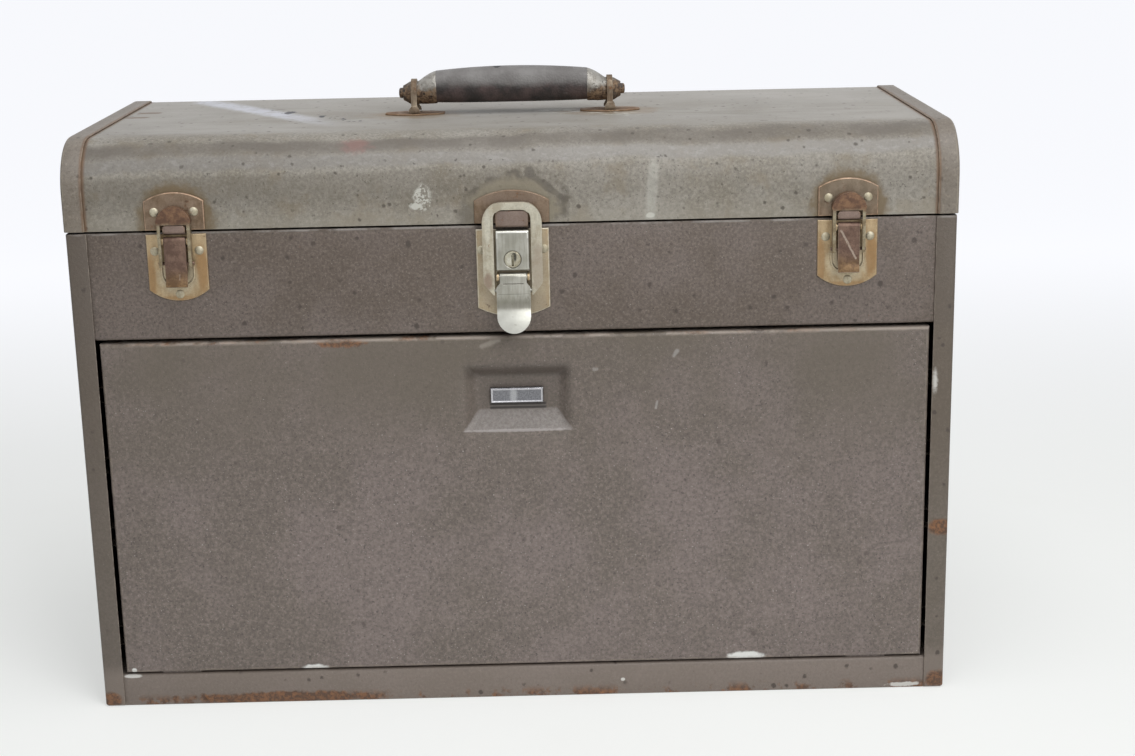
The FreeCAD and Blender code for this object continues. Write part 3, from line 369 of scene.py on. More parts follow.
def lid_paint():
    look = Look("lid_paint")
    height = enamel(look, (0.205, 0.184, 0.147), (0.268, 0.25, 0.217), (0.42, 0.41, 0.38), 0, 0.42)
    up, z, y = look.facing("Z"), look.z, look.y
    reach = look.math("ABSOLUTE", look.x)
    warm = look.cloud(0.5, 0.66, 0.02, 5, 0.65, seed=31)
    look.paint(warm, (0.205, 0.165, 0.108), 0.45)
    # the bend: painted shade in a dark brow below the top, a painted sheen with painted glints on the
    # crown, brighter to the right, and painted shade under it
    level = look.less(up, look.times(look.x, 0.3))
    wander = look.less(look.noise(0.03, 5, 0.6, stretch=(0.6, 1, 1), seed=43), 0.5)
    level = look.plus(level, look.times(wander, 0.3))
    right = look.band(look.x, -0.16, 0.1)
    # painted sheen on the crown of the bend, brighter to the right
    crown = look.span(level, 0.4, 0.52, 0.64, 0.74)
    grey = look.mix(right, (0.2, 0.188, 0.174), (0.255, 0.243, 0.229))
    look.paint(crown, grey, 0.65)
    # painted glints in the sheen
    glint = look.times(crown, look.cloud(0.52, 0.62, 0.0035, 5, 0.75, stretch=(0.6, 1, 1), seed=33))
    look.paint(glint, (0.48, 0.47, 0.46), 0.16)
    brow_noise = look.blend(look.cloud(0.36, 0.6, 0.035, 5, 0.6, seed=35), 0.62, 1)
    # painted shade: the dark brow at the top of the bend
    brow = look.times(look.span(level, 0.64, 0.8, 0.88, 0.985), look.band(y, -0.07, -0.086), brow_noise)
    look.paint(brow, (0.118, 0.102, 0.085), 0.85)
    # painted shade under the crown, heavier to the left
    under = look.times(
        look.band(level, 0.42, 0.3), look.band(z, 0.298, 0.314), look.blend(right, 0.4, 0.14))
    look.paint(under, (0.105, 0.088, 0.065))
    # painted light: the foot of the lid's front lighter
    skirt_light = look.times(look.band(z, 0.307, 0.293), look.band(up, 0.3, 0.1))
    look.paint(skirt_light, (0.345, 0.32, 0.268), 0.35)
    top = look.times(look.band(up, 0.93, 0.995), look.band(y, -0.082, -0.062))
    faded = look.mix(look.cloud(0.36, 0.62, 0.09, 5, 0.6), (0.262, 0.246, 0.22), (0.335, 0.318, 0.291))
    swirl = look.cloud(0.42, 0.62, 0.03, 6, 0.65, stretch=(0.35, 1.4, 1))
    faded = look.mix(look.times(swirl, 0.45), faded, (0.205, 0.185, 0.15))
    # the faded top lighter towards the back
    towards_back = look.band(y, -0.03, 0.1)
    faded = look.mix(look.times(towards_back, 0.38), faded, (0.46, 0.44, 0.41))
    grain = look.cloud(0.4, 0.66, 0.0022, 4, seed=37)
    faded = look.mix(look.times(grain, 0.22), faded, (0.36, 0.35, 0.33))
    look.paint(top, faded, 0.9)
    # the end caps kept more of their brown
    cap = look.band(reach, 0.2438, 0.2446)
    brown = look.mix(look.noise(0.03, 4), (0.15, 0.124, 0.098), (0.205, 0.175, 0.146))
    brown = look.mix(look.times(look.cloud(0.53, 0.36, 0.0018, 4, 0.72), 0.6), brown, (0.095, 0.076, 0.058))
    brown = look.mix(
        look.times(look.cloud(0.54, 0.66, 0.0022, 4, 0.72, seed=4), 0.5), brown, (0.31, 0.265, 0.215))
    look.paint(cap, brown, 0.75)
    dark_specks(look, (0.062, 0.05, 0.038), 0.8, 0.0085, 0.9)
    blots = look.cloud(0.7, 0.74, 0.0065, 4, 0.6, seed=8)
    look.paint(blots, (0.055, 0.045, 0.036), 0.7)
    seam = look.span(reach, 0.2416, 0.2438, 0.2444, 0.2464)
    tint = look.mix(look.noise(0.012, 4), (0.062, 0.04, 0.028), (0.215, 0.12, 0.06))
    look.paint(seam, tint, 0.85)
    # brown halos round the strikes and the handle's base plates
    for x in SIDES:
        halo = look.patch((x + 0.8, LID_Y, 299), (22, 9, 20.5), soft=0.16, ragged=0.26)
        look.paint(halo, (0.15, 0.105, 0.052), 0.85)
    outer = look.patch((2, LID_Y, 303), (31, 9, 21), soft=0.12, ragged=0.34, grain=0.009)
    inner = look.patch((1, LID_Y, 301), (27, 9, 18.5), soft=0.14, ragged=0.28, grain=0.009)
    ring = look.times(outer, look.less(1, inner))
    broken = look.cloud(0.36, 0.54, 0.01, 4, 0.55, seed=11)
    look.paint(inner, (0.225, 0.196, 0.138), 0.75)
    dregs = look.most(
        look.patch((-26, LID_Y, 297), (5, 5, 8), soft=0.5, ragged=0.8),
        look.patch((28, LID_Y, 306.5), (2.2, 5, 2.6), soft=0.5, ragged=0.8))
    ring = look.most(look.times(look.times(ring, broken), 0.9), look.times(dregs, 0.55))
    look.paint(ring, (0.088, 0.074, 0.056))
    smear = look.streak((10, -107, 321), (28.5, -108, 307), 3.6, ragged=1.2, grain=0.007)
    blob = look.patch((11, -107.4, 321.5), (3.2, 4, 3.4), ragged=0.7)
    smear = look.most(look.times(smear, 0.6), look.times(blob, 0.8))
    look.paint(smear, (0.095, 0.082, 0.066))
    for x in (-60.5, 60.5):
        oval = look.patch((x, 1, LID_TOP), (29, 20, 6), soft=0.4, ragged=0.7, grain=0.01)
        look.paint(oval, (0.215, 0.155, 0.092), 0.65)
    # the long pale rub across the top, with black specks beside it
    rub = look.times(
        look.streak((-205, 96, LID_TOP), (-100, -46, LID_TOP), 17, soft=0.6),
        look.band(look.x, -0.095, -0.15), look.blend(look.cloud(0.34, 0.52, 0.008, seed=39), 0.5, 1))
    look.paint(rub, (0.55, 0.56, 0.61))
    tar = look.most(
        look.times(
            look.streak((-150, 38, LID_TOP), (-96, -26, LID_TOP), 13),
            look.cloud(0.6, 0.64, 0.005, 3, 0.55, seed=13)),
        look.patch((-141, 26, LID_TOP), (3.2, 8, 2), ragged=1.3, grain=0.004),
        look.patch((-118, 2, LID_TOP), (2, 5, 2), ragged=1.3, grain=0.004))
    look.paint(tar, (0.03, 0.03, 0.035))
    red = look.patch((-88.6, -96, 338.5), (7.5, 5.5, 5.5), soft=0.6, ragged=1.1, grain=0.004)
    look.paint(red, (0.36, 0.13, 0.12), 0.28)
    scuffs = look.most(
        look.times(
            look.patch((-50.5, LID_Y, 308.5), (5, 5, 7.5), ragged=0.7, grain=0.0035),
            look.cloud(0.44, 0.54, 0.0028, 4, seed=41)),
        look.patch((-54.5, LID_Y, 303.6), (3.4, 5, 1.8), ragged=0.8, grain=0.003),
        look.times(look.streak((82.3, -107, 334), (79.1, LID_Y, 294), 6, ragged=0.3), 0.32),
        look.patch((79.3, LID_Y, 295.4), (2.8, 3, 1.8), grain=0.003),
        look.times(
            look.streak((25, 5, LID_TOP), (66, -18, LID_TOP), 22, ragged=0.8),
            look.cloud(0.54, 0.62, 0.006, 5, 0.6, stretch=(0.5, 1, 1), seed=15)),
        look.times(look.cloud(0.7, 0.74, 0.01, seed=17), look.band(z, 0.335, 0.343)))
    look.paint(scuffs, (0.55, 0.55, 0.5), 0.85)
    slits = look.most(
        look.streak((-240, 16, LID_TOP), (-231.5, 16, LID_TOP), 6.5, ragged=0.3),
        look.streak((-237, 40, LID_TOP), (-228.5, 40, LID_TOP), 7.5, ragged=0.3))
    look.paint(slits, (0.135, 0.085, 0.05), 0.9)
    # inside the lid the enamel never faded
    weathered = look.colour
    enamel(look, (0.098, 0.076, 0.06), (0.138, 0.11, 0.092), (0.3, 0.27, 0.24), 0)
    outside = look.band(look.less(up, look.facing("Y")), -0.5, -0.2)
    back = look.band(y, 0.1068, 0.1076)
    look.paint(look.most(outside, back), weathered)
    worn = worn_edges(look, (0.31, 0.275, 0.215), 0.55)
    look.bump(height, 0.00018)
    rough = look.blend(worn, look.blend(look.noise(0.04), 0.46, 0.62), 0.7)
    return look.finish(rough)


def plain_paint(name, shade, light):
    """Enamel inside the chest, unfaded."""
    look = Look(name)
    height = enamel(look, shade, light, [v * 2.2 for v in light], 0)
    worn = worn_edges(look, BARE_STEEL, 0.5)
    look.bump(height, 0.00016)
    return look.finish(look.blend(worn, 0.46, 0.6))


def steel(name, clean, tarnish, rust_share, roughness=(0.3, 0.5), marks=(), rubbed=None):
    """Plated steel: clouded plating, streaks, rust in blotches, and rubbed edges that also carry a painted
    highlight.

    Each mark is (centre, size, colour, strength) with lengths in millimetres."""
    look = Look(name)
    cloud = look.cloud(0.38, 0.6, 0.008, 5, 0.65)
    look.colour = look.mix(cloud, clean, tarnish)
    streaks = look.cloud(0.42, 0.62, 0.0024, 4, 0.6, stretch=(1, 1, 0.25), seed=19)
    look.paint(streaks, [v * 1.3 for v in clean], 0.35)
    for centre, size, tone, strength in marks:
        mark = look.patch(centre, size, grain=0.0035, soft=0.35, ragged=0.4)
        look.paint(mark, tone, strength)
    grain = look.noise(0.0009, 3, 0.6)
    look.paint(look.band(grain, 0.35, 0.7), [v * 0.55 for v in clean], 0.3)
    start = 0.74 - 0.36 * rust_share
    rust = look.cloud(start, start + 0.1, 0.0062, 6, 0.72, seed=21)
    pitting = look.cloud(0.64 - 0.1 * rust_share, 0.72, 0.0016, 4, seed=23)
    rust = look.times(look.most(rust, look.times(pitting, 0.6)), 0.85)
    look.paint(rust, rust_colour(look))
    # rubbed plating on the edges, with a painted highlight there too
    edge = look.times(
        look.edge_wear_and_highlight(), look.blend(look.cloud(0.38, 0.58, 0.004, 4, 0.55, seed=25), 0.35, 0.9))
    look.paint(edge, rubbed or [min(0.85, v * 1.45) for v in clean])
    rust = look.times(rust, look.less(1, edge))
    look.bump(look.plus(grain, look.times(rust, 1.2)), 0.00007)
    rough = look.blend(rust, look.blend(cloud, *roughness), 0.82)
    return look.finish(rough, look.blend(rust, 0.8, 0.12))


def grip_leather():
    """Dark grip, dulled and greyed on top where the palm has rubbed it; the grey top is also painted light
    from above.
    """
    look = Look("grip_leather")
    wander = look.times(look.noise(0.016, 4, 0.6), 0.007)
    rubbed = look.plus(look.z, wander)
    # worn grey and painted light on the grip's top
    top = look.band(rubbed, 0.3618, 0.3678)
    dark = look.mix(look.cloud(0.38, 0.64, 0.014, 5, 0.55), (0.024, 0.019, 0.018), (0.078, 0.053, 0.05))
    grey = look.mix(look.cloud(0.35, 0.65, 0.018, 5, 0.55), (0.13, 0.122, 0.118), (0.2, 0.193, 0.188))
    look.colour = look.mix(top, dark, grey)
    scuffs = look.cloud(0.64, 0.74, 0.006, stretch=(0.3, 1, 1), seed=4)
    look.paint(scuffs, (0.24, 0.23, 0.22), 0.35)
    # painted shade in a small notch in the grip's top
    notch = look.patch((-9, 5, 371.4), (2.4, 5, 1.2), ragged=0.3, grain=0.002)
    look.paint(notch, (0.01, 0.01, 0.01))
    grain = look.cells(0.0013)
    look.bump(look.plus(grain, look.noise(0.0045)), 0.00014)
    return look.finish(look.blend(top, 0.4, 0.6))


def ferrule_steel():
    """Worn plating above, pitted rust below and towards the nose."""
    look = Look("ferrule_steel")
    wander = look.times(look.less(look.noise(0.005, 5, 0.7), 0.5), 0.016)
    low = look.plus(look.z, wander)
    nose = look.band(look.math("ABSOLUTE", look.x), 0.056, 0.066)
    level = look.plus(low, look.times(nose, -0.006))
    bare = look.band(level, 0.3555, 0.3605)
    rust = look.mix(look.cloud(0.4, 0.58, 0.0026, 5, 0.75), (0.055, 0.03, 0.018), (0.225, 0.15, 0.09))
    pits = look.band(look.cells(0.0034, seed=5), 0.3, 0.18)
    rust = look.mix(look.times(pits, 0.9), rust, (0.022, 0.014, 0.01))
    grime = look.cloud(0.44, 0.6, 0.006, 4, seed=9)
    rust = look.mix(look.times(nose, grime, 0.8), rust, (0.06, 0.054, 0.05))
    plate = look.mix(look.cloud(0.36, 0.62, 0.0042, 4, 0.55), (0.22, 0.205, 0.18), (0.33, 0.315, 0.285))
    look.colour = look.mix(bare, rust, plate)
    height = look.less(look.noise(0.0022, 4, 0.7), look.times(pits, 0.8))
    look.bump(height, 0.0003)
    return look.finish(look.blend(bare, 0.78, 0.46), look.blend(bare, 0.1, 0.6))


def lock_nickel():
    """Worn nickel: brushed upright, with a painted highlight on the spoon, painted shade in the flap's
    creases and hollow and round the plug, and painted highlights on the edges.
    """
    look = Look("lock_nickel")
    z = look.z
    cloud = look.cloud(0.36, 0.62, 0.009, 5, 0.65)
    look.colour = look.mix(cloud, (0.345, 0.335, 0.285), (0.42, 0.41, 0.36))
    brushed = look.cloud(0.4, 0.62, 0.0012, 3, 0.6, stretch=(1, 1, 0.08))
    look.paint(brushed, (0.225, 0.215, 0.18), 0.35)
    # painted shade in the flap's hollow above the spoon
    hollow = look.span(z, 0.2425, 0.2455, 0.2475, 0.2525)
    look.paint(hollow, (0.175, 0.165, 0.132), 0.55)
    # painted highlight on the spoon
    spoon = look.band(z, 0.2446, 0.2418)
    spoon_highlight = look.mix(look.noise(0.004, 4), (0.44, 0.435, 0.385), (0.66, 0.66, 0.6))
    look.paint(spoon, spoon_highlight, 0.9)
    # painted shade in the flap's creases, the plug's notch and the gap round the plug
    crease = look.most(
        look.streak((-5.6, -116.9, 258.9), (5.6, -116.9, 258.9), 0.55, ragged=0.3, grain=0.002),
        look.times(look.streak((-8.6, -116.9, 252.9), (8.6, -116.9, 252.9), 0.5, ragged=0.4), 0.35),
        look.patch((0, -115.6, 268.5), (1.9, 6, 0.95), ragged=0.1, soft=0.12),
        look.patch((0, -115.6, 273), (5.1, 6, 5.1), ragged=0, soft=0.05))
    look.paint(crease, (0.05, 0.045, 0.035), 0.85)
    stain = look.cloud(0.64, 0.74, 0.0042, seed=7)
    look.paint(stain, (0.15, 0.125, 0.085), 0.6)
    # painted highlights on the edges, full along the case's top and on the flap, faint elsewhere
    upper = look.most(look.band(z, 0.2845, 0.2855), look.band(z, 0.2655, 0.2645), 0.25)
    edge = look.times(look.edge_wear_and_highlight(), upper, 0.8)
    look.paint(edge, (0.74, 0.74, 0.68))
    look.bump(look.less(look.noise(0.0012), look.times(crease, 3)), 0.00005)
    return look.finish(look.blend(spoon, look.blend(cloud, 0.32, 0.48), 0.42), 0.8)


def link_steel():
    """Browned cap and pale rubbed legs; the pale rims are worn steel and a painted highlight."""
    look = Look("link_steel")
    cap = look.band(look.plus(look.z, look.times(look.noise(0.006), 0.003)), 0.296, 0.3)
    legs = look.mix(look.cloud(0.38, 0.6, 0.0045), (0.34, 0.3, 0.21), (0.215, 0.165, 0.1))
    brown = look.mix(look.cloud(0.36, 0.6, 0.0052, seed=3), (0.215, 0.12, 0.066), (0.105, 0.055, 0.034))
    look.colour = look.mix(cap, legs, brown)
    # pale rims: worn steel and a painted highlight
    inner = look.times(look.edge_wear_and_highlight(), look.cloud(0.35, 0.6, 0.004, 4, 0.55))
    look.paint(inner, (0.56, 0.47, 0.35), 0.8)
    grain = look.noise(0.001, 3, 0.6)
    look.paint(look.band(grain, 0.5, 0.72), (0.08, 0.05, 0.03), 0.5)
    look.bump(grain, 0.00008)
    return look.finish(look.blend(cap, 0.42, 0.5), look.blend(cap, 0.7, 0.45))


def lever_steel():
    """Purple-brown tarnish that turns orange towards the lever's lip."""
    look = Look("lever_steel")
    low = look.band(look.plus(look.z, look.times(look.noise(0.008), 0.006)), 0.276, 0.265)
    upper = look.mix(look.cloud(0.38, 0.6, 0.006), (0.185, 0.118, 0.086), (0.12, 0.072, 0.053))
    lower = look.mix(look.cloud(0.38, 0.6, 0.004, seed=3), (0.215, 0.132, 0.062), (0.125, 0.072, 0.034))
    look.colour = look.mix(low, upper, lower)
    scratch = look.streak((188, -113.5, 285), (196.5, -113.5, 269), 1.1, ragged=0.8, grain=0.002)
    scratch = look.most(
        scratch,
        look.times(look.streak((-190.6, -113.5, 268), (-190.9, -113.5, 264), 0.7, ragged=0.9), 0.5))
    look.paint(scratch, (0.48, 0.4, 0.32), 0.6)
    # the lever's edges: worn steel and a painted highlight
    look.paint(look.edge_wear_and_highlight(), (0.46, 0.37, 0.28), 0.75)
    grain = look.noise(0.001, 3, 0.6)
    look.paint(look.band(grain, 0.5, 0.72), (0.07, 0.04, 0.025), 0.5)
    look.bump(grain, 0.00008)
    return look.finish(0.46, 0.6)


def felt():
    look = Look("felt")
    fibres = look.noise(0.0016, 5, 0.75, stretch=(1, 0.45, 1))
    look.colour = look.mix(look.band(fibres, 0.35, 0.65), (0.055, 0.034, 0.022), (0.125, 0.082, 0.052))
    rubbed = look.cloud(0.5, 0.7, 0.07, 4, 0.55)
    look.paint(rubbed, (0.16, 0.12, 0.085), 0.4)
    look.bump(look.plus(fibres, look.noise(0.0005, 2)), 0.0004)
    return look.finish(0.95, Sheen_Weight=0.5, Sheen_Roughness=0.5)


def nameplate_bright():
    """The bare nameplate: bright metal, stippled and scratched, with a painted reflection down its middle
    and a painted highlight on its rim.
    """
    look = Look("nameplate_bright")
    mottled = look.cloud(0.36, 0.64, 0.0008, 4)
    look.colour = look.mix(mottled, (0.155, 0.155, 0.165), (0.245, 0.245, 0.26))
    # painted reflection down the plate's middle
    flare = look.patch((-2, -103, 189), (2, 3, 5), soft=0.6)
    look.paint(flare, (0.46, 0.46, 0.47), 0.7)
    # painted highlight on the rim
    look.paint(look.edge_wear_and_highlight(), (0.56, 0.55, 0.57), 0.9)
    look.bump(look.noise(0.0012, 4), 0.0001)
    return look.finish(look.blend(mottled, 0.42, 0.22), 1)


def build_looks():
    cream, orange, olive = (0.5, 0.44, 0.32), (0.32, 0.19, 0.085), (0.19, 0.165, 0.125)
    plate_marks = []
    for x in SIDES:
        plate_marks += [
            ((x, CASE_Y, 266), (11.5, 4, 11), cream, 0.8),
            ((x + 14, CASE_Y, 270), (3.4, 4, 13), orange, 0.85),
            ((x - 15.5, CASE_Y, 266), (2.6, 4, 14), orange, 0.7),
            ((x, CASE_Y, 252.6), (12, 4, 2), orange, 0.6),
        ]
    plate_marks += [
        ((14, CASE_Y, 246), (5, 4, 5.5), (0.3, 0.2, 0.13), 0.7),
        ((-14, CASE_Y, 249), (4, 4, 4.5), (0.3, 0.2, 0.14), 0.6),
        ((0, CASE_Y, 262), (25, 4, 40), (0.39, 0.345, 0.26), 0.75),
    ]
    strike_marks = [((x, -112.5, 294), (8, 2.6, 5), (0.27, 0.2, 0.17), 0.9) for x in SIDES]
    strike_marks += [
        ((0, -114.5, 296), (10, 4, 8), (0.245, 0.19, 0.165), 0.85),
        ((0, -109, 307.5), (17, 3, 4.5), (0.215, 0.16, 0.12), 0.8),
        ((SIDE_X, -109, 305), (17, 3, 12), olive, 0.5),
    ]
    # the rubbed edges of each steel also carry a painted highlight
    steels = {  # slot: clean, tarnish, rust share, roughness, marks, rubbed edges
        "hinge_steel": ((0.185, 0.16, 0.135), (0.15, 0.12, 0.095), 0.12, (0.5, 0.65)),
        "stay_steel": ((0.42, 0.4, 0.36), (0.3, 0.27, 0.23), 0.25),
        "latch_plate": (
            (0.43, 0.325, 0.195), (0.34, 0.24, 0.13), 0.26, (0.4, 0.55), plate_marks, (0.58, 0.53, 0.42)),
        "strike_rust": (
            (0.23, 0.168, 0.118), (0.155, 0.106, 0.066), 0.42, (0.45, 0.6), strike_marks,
            (0.47, 0.32, 0.22)),
        "bail_steel": (
            (0.51, 0.48, 0.385), (0.4, 0.355, 0.27), 0.16, (0.36, 0.5),
            [((-14.5, -114, 260), (3, 4, 5), (0.25, 0.17, 0.125), 0.8),
             ((14.5, -114, 268), (4, 4, 16), (0.33, 0.26, 0.2), 0.6),
             # the last mark is a painted highlight down the bail's left leg
             ((-14, -115.4, 292), (1.6, 1.5, 11), (0.62, 0.6, 0.5), 0.6)],
            (0.55, 0.52, 0.42)),
        "plug_brass": (
            (0.5, 0.48, 0.38), (0.3, 0.26, 0.18), 0.05, (0.24, 0.4),
            # the first mark is painted shade in the keyway
            [((0.9, -117, 274.6), (1.5, 4, 2.9), (0.02, 0.018, 0.014), 0.97),
             ((-1.4, -117, 272), (2, 4, 2.4), (0.66, 0.64, 0.54), 0.7)]),
        "pin_steel": ((0.45, 0.42, 0.34), (0.33, 0.29, 0.22), 0.08),
        "rivet_steel": ((0.5, 0.46, 0.35), (0.38, 0.33, 0.23), 0, (0.55, 0.68)),
        "plate_rust": ((0.25, 0.17, 0.108), (0.17, 0.1, 0.058), 0.5, (0.6, 0.8), (), (0.28, 0.19, 0.12)),
        "loop_rust": (
            (0.225, 0.18, 0.13), (0.14, 0.095, 0.062), 0.45, (0.5, 0.7), (), (0.3, 0.25, 0.19)),
        "pull_steel": ((0.5, 0.49, 0.46), (0.38, 0.36, 0.32), 0.08),
    }
    made = {slot: steel(slot, *finish) for slot, finish in steels.items()}
    made["drawer_paint"] = plain_paint("drawer_paint", (0.085, 0.064, 0.05), (0.125, 0.098, 0.08))
    for maker in (case_paint, lid_paint, panel_paint, link_steel, lever_steel, lock_nickel, grip_leather,
                  ferrule_steel, nameplate_bright, felt):
        made[maker.__name__] = maker()
    return made


looks = build_looks()
for node, thing in frame["nodes"].items():
    thing.data.materials.clear()
    thing.data.materials.append(looks[slot_of[node]])


# ---------------------------------------------------------------- pieces


def add_object(name, data):
    made = bpy.data.objects.new(name, data)
    bpy.context.scene.collection.objects.link(made)
    return made


def mesh_from(name, bm):
    mesh = bpy.data.meshes.new(name)
    bm.to_mesh(mesh)
    bm.free()
    mesh.shade_smooth()
    return mesh


def add_piece(name, bm, body, slot, smooth_below=40.0):
    """Make a mesh piece from bm, riding on a body and finished from a slot."""
    bm.normal_update()
    mesh = mesh_from(name, bm)
    mesh.set_sharp_from_angle(angle=math.radians(smooth_below))
    mesh.materials.append(looks[slot])
    piece = add_object(name, mesh)
    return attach(piece, body)


def node_copy(node, flat):
    """The node's mesh, with its triangles merged where they turn by less than flat."""
    bm = bmesh.new()
    bm.from_mesh(frame["nodes"][node].data)
    bmesh.ops.remove_doubles(bm, verts=bm.verts, dist=1e-6)
    bmesh.ops.dissolve_limit(bm, angle_limit=flat, verts=bm.verts, edges=bm.edges, delimit=set())
    return bm


def round_edges(bm, edges, radius, segments, mask):
    """Bevel the edges by radius in mm, and set the mask on the new faces."""
    made = bmesh.ops.bevel(
        bm, geom=edges, offset=radius * MM, segments=segments, profile=0.5, affect="EDGES",
        clamp_overlap=True)
    for face in made["faces"]:
        face[mask] = 1.0


def soften(node, width, sharp=28.0, segments=2, reshape=None, first=None):
    """A node's piece with rounded edges, which carry the mask that the wear and the painted edge highlights
    are painted by.

    reshape moves a vertex; first is a wider radius with the test of the edges that take it."""
    bm = node_copy(node, math.radians(0.6))
    if reshape:
        for vert in bm.verts:
            reshape(vert.co)
    bm.normal_update()
    limit = math.radians(sharp)
    mask = bm.faces.layers.float.new("edge")
    rounds = [(width, lambda edge: True)]
    if first:
        rounds.insert(0, first)
    for radius, wanted in rounds:
        edges = [
            e for e in bm.edges
            if len(e.link_faces) == 2 and e.calc_face_angle(0.0) > limit and wanted(e)
        ]
        round_edges(bm, edges, radius, segments, mask)
    piece = add_piece(f"{node}_finished", bm, body_of[node], slot_of[node])
    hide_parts(node)


SOFTENED = {  # node: edge radius in mm
    "left_end_panel": 0.35, "right_end_panel": 0.35, "till_front": 0.35, "bottom_rail": 0.35,
    "lid_cover": 0.3, "lid_end_left": 0.45, "lid_end_right": 0.45,
    "side_latch_plates": 0.3, "centre_latch_plate": 0.3, "side_strikes": 0.3,
    "side_lever_left": 0.3, "side_lever_right": 0.3,
    "centre_lever": 0.35, "lock_case": 0.4, "lock_plug": 0.2,
    "handle_loop_left": 0.45, "handle_loop_right": 0.45,
    "lid_stay_left": 0.25, "lid_stay_right": 0.25,
}
for number in range(1, 8):
    SOFTENED[f"drawer_{number}"] = 0.3
    SOFTENED[f"drawer_{number}_pull"] = 0.4
for node, width in SOFTENED.items():
    soften(node, width)


def slim_legs(middle):
    """Slims the link's legs, below its cap, to narrow straps."""
    def move(co):
        offset = (co.x - middle) / MM
        if co.z < 0.2975 and 6.0 < abs(offset) < 10.5:
            co.x = middle + math.copysign(7.6 + (abs(offset) - 6.8) * 0.56, offset) * MM
    return move


def slim_bail(co):
    """Slims the bail's legs a little."""
    offset = co.x / MM
    if abs(offset) > 9.0:
        co.x = math.copysign(10.7 + (abs(offset) - 10.3) * 0.88, offset) * MM


def thin_plate(co):
    """The plates stand at just over half of their CAD height."""
    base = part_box("handle_plates")[0].z
    co.z = base + (co.z - base) * 0.55


def on_catch(edge):
    """The front rim of the centre strike's catch."""
    return all(v.co.y < -0.1125 and v.co.z > 0.292 for v in edge.verts)


for side, middle in (("left", -SIDE_X), ("right", SIDE_X)):
    soften(f"side_link_{side}", 0.55, segments=3, reshape=slim_legs(middle * MM))
soften("centre_bail", 1.32, segments=5, reshape=slim_bail)
soften("handle_plates", 0.9, segments=3, reshape=thin_plate)
soften("centre_strike", 0.3, first=(1.3, on_catch))


def pan(bm, mask, xs, zs, face, depth_at, thickness, back, bend):
    """A sheet pressed into a pan, front to -Y: its face dished by depth_at, edges folded back.

    xs and zs are the grid lines between the bends; every length is in millimetres."""
    last = len(xs) - 1, len(zs) - 1

    def layer(grow, y, dished=False, steel=0.0):
        made = {}
        for i, x in enumerate(xs):
            for j, z in enumerate(zs):
                rim = i in (0, last[0]) or j in (0, last[1])
                if not (dished or rim):
                    continue
                dx = grow * ((i == last[0]) - (i == 0))
                dz = grow * ((j == last[1]) - (j == 0))
                dip = depth_at(x, z) + steel if dished else 0.0
                made[i, j] = bm.verts.new(Vector((x + dx, y + dip, z + dz)) * MM)
        return made

    border = [(i, 0) for i in range(last[0])] + [(last[0], j) for j in range(last[1])]
    border += [(i, last[1]) for i in range(last[0], 0, -1)] + [(0, j) for j in range(last[1], 0, -1)]
    outside = layer(0.0, face, dished=True)
    inside = layer(bend - thickness, face, dished=True, steel=thickness)
    for sheet, turned in ((outside, False), (inside, True)):
        for i in range(last[0]):
            for j in range(last[1]):
                corners = [sheet[i, j], sheet[i + 1, j], sheet[i + 1, j + 1], sheet[i, j + 1]]
                bm.faces.new(list(reversed(corners)) if turned else corners)
    rings = [outside]
    arc = 4
    for step in range(1, arc + 1):
        turn = math.pi / 2 * step / arc
        rings.append(layer(bend * math.sin(turn), face + bend * (1 - math.cos(turn))))
    rings += [layer(bend, back), layer(bend - thickness, back), inside]
    for number, (low, high) in enumerate(zip(rings, rings[1:])):
        for a, b in zip(border, border[1:] + border[:1]):
            made = bm.faces.new((low[a], high[a], high[b], low[b]))
            made[mask] = 0.6 if number < arc else 0.0
    bmesh.ops.recalc_face_normals(bm, faces=bm.faces)


def tab(bm, low, high, round_by):
    """A sheet tab with rounded lower corners, low and high being its opposite corners."""
    (x0, y0, z0), (x1, y1, z1) = low, high
    outline = [(x0, z1)]
    for centre, start in ((x0 + round_by, math.pi), (x1 - round_by, 1.5 * math.pi)):
        for step in range(5):
            turn = start + math.pi / 2 * step / 4
            outline.append((
                centre + round_by * math.cos(turn), z0 + round_by + round_by * math.sin(turn)))
    outline.append((x1, z1))
    loops = [[bm.verts.new(Vector((x, y, z)) * MM) for x, z in outline] for y in (y0, y1)]
    count = len(outline)
    for side in range(count):
        after = (side + 1) % count
        bm.faces.new((loops[0][side], loops[1][side], loops[1][after], loops[0][after]))
    bm.faces.new(loops[0])
    bm.faces.new(list(reversed(loops[1])))


# The finger dent in the front panel, in mm: its ends, its lower lip and its top
DENT_LEFT, DENT_RIGHT, DENT_LIP, DENT_TOP = -32.5, 33.5, 168.6, 209.5
DENT_DEPTH = 8.0


def ramp(value, start, end, sharp_start=False):
    """0 at start and 1 at end; smooth at both, or straight from start."""
    share = min(1.0, max(0.0, (value - start) / (end - start)))
    if sharp_start:
        return share * (1.5 - 0.5 * share * share)
    return share * share * (3 - 2 * share)


def dent_depth(x, z):
    """Depth of the finger dent: crisp lower lip, soft top and sides, flat floor."""
    walls = [
        ramp(z, DENT_LIP, 181.5, sharp_start=True), ramp(z, DENT_TOP, 199.5),
        ramp(x, DENT_LEFT, -21.5), ramp(x, DENT_RIGHT, 22.5),
    ]
    least, next_up = sorted(walls)[:2]
    blend = max(0.0, 0.16 - (next_up - least))  # rounds the corners between two walls
    return DENT_DEPTH * max(0.0, least - blend * blend / 0.64)


def spaced(*spans):
    """Grid lines from (start, end, step) spans laid end to end."""
    lines = [spans[0][0]]
    for start, end, step in spans:
        count = max(1, round((end - start) / step))
        lines += [start + (end - start) * (k + 1) / count for k in range(count)]
    return lines


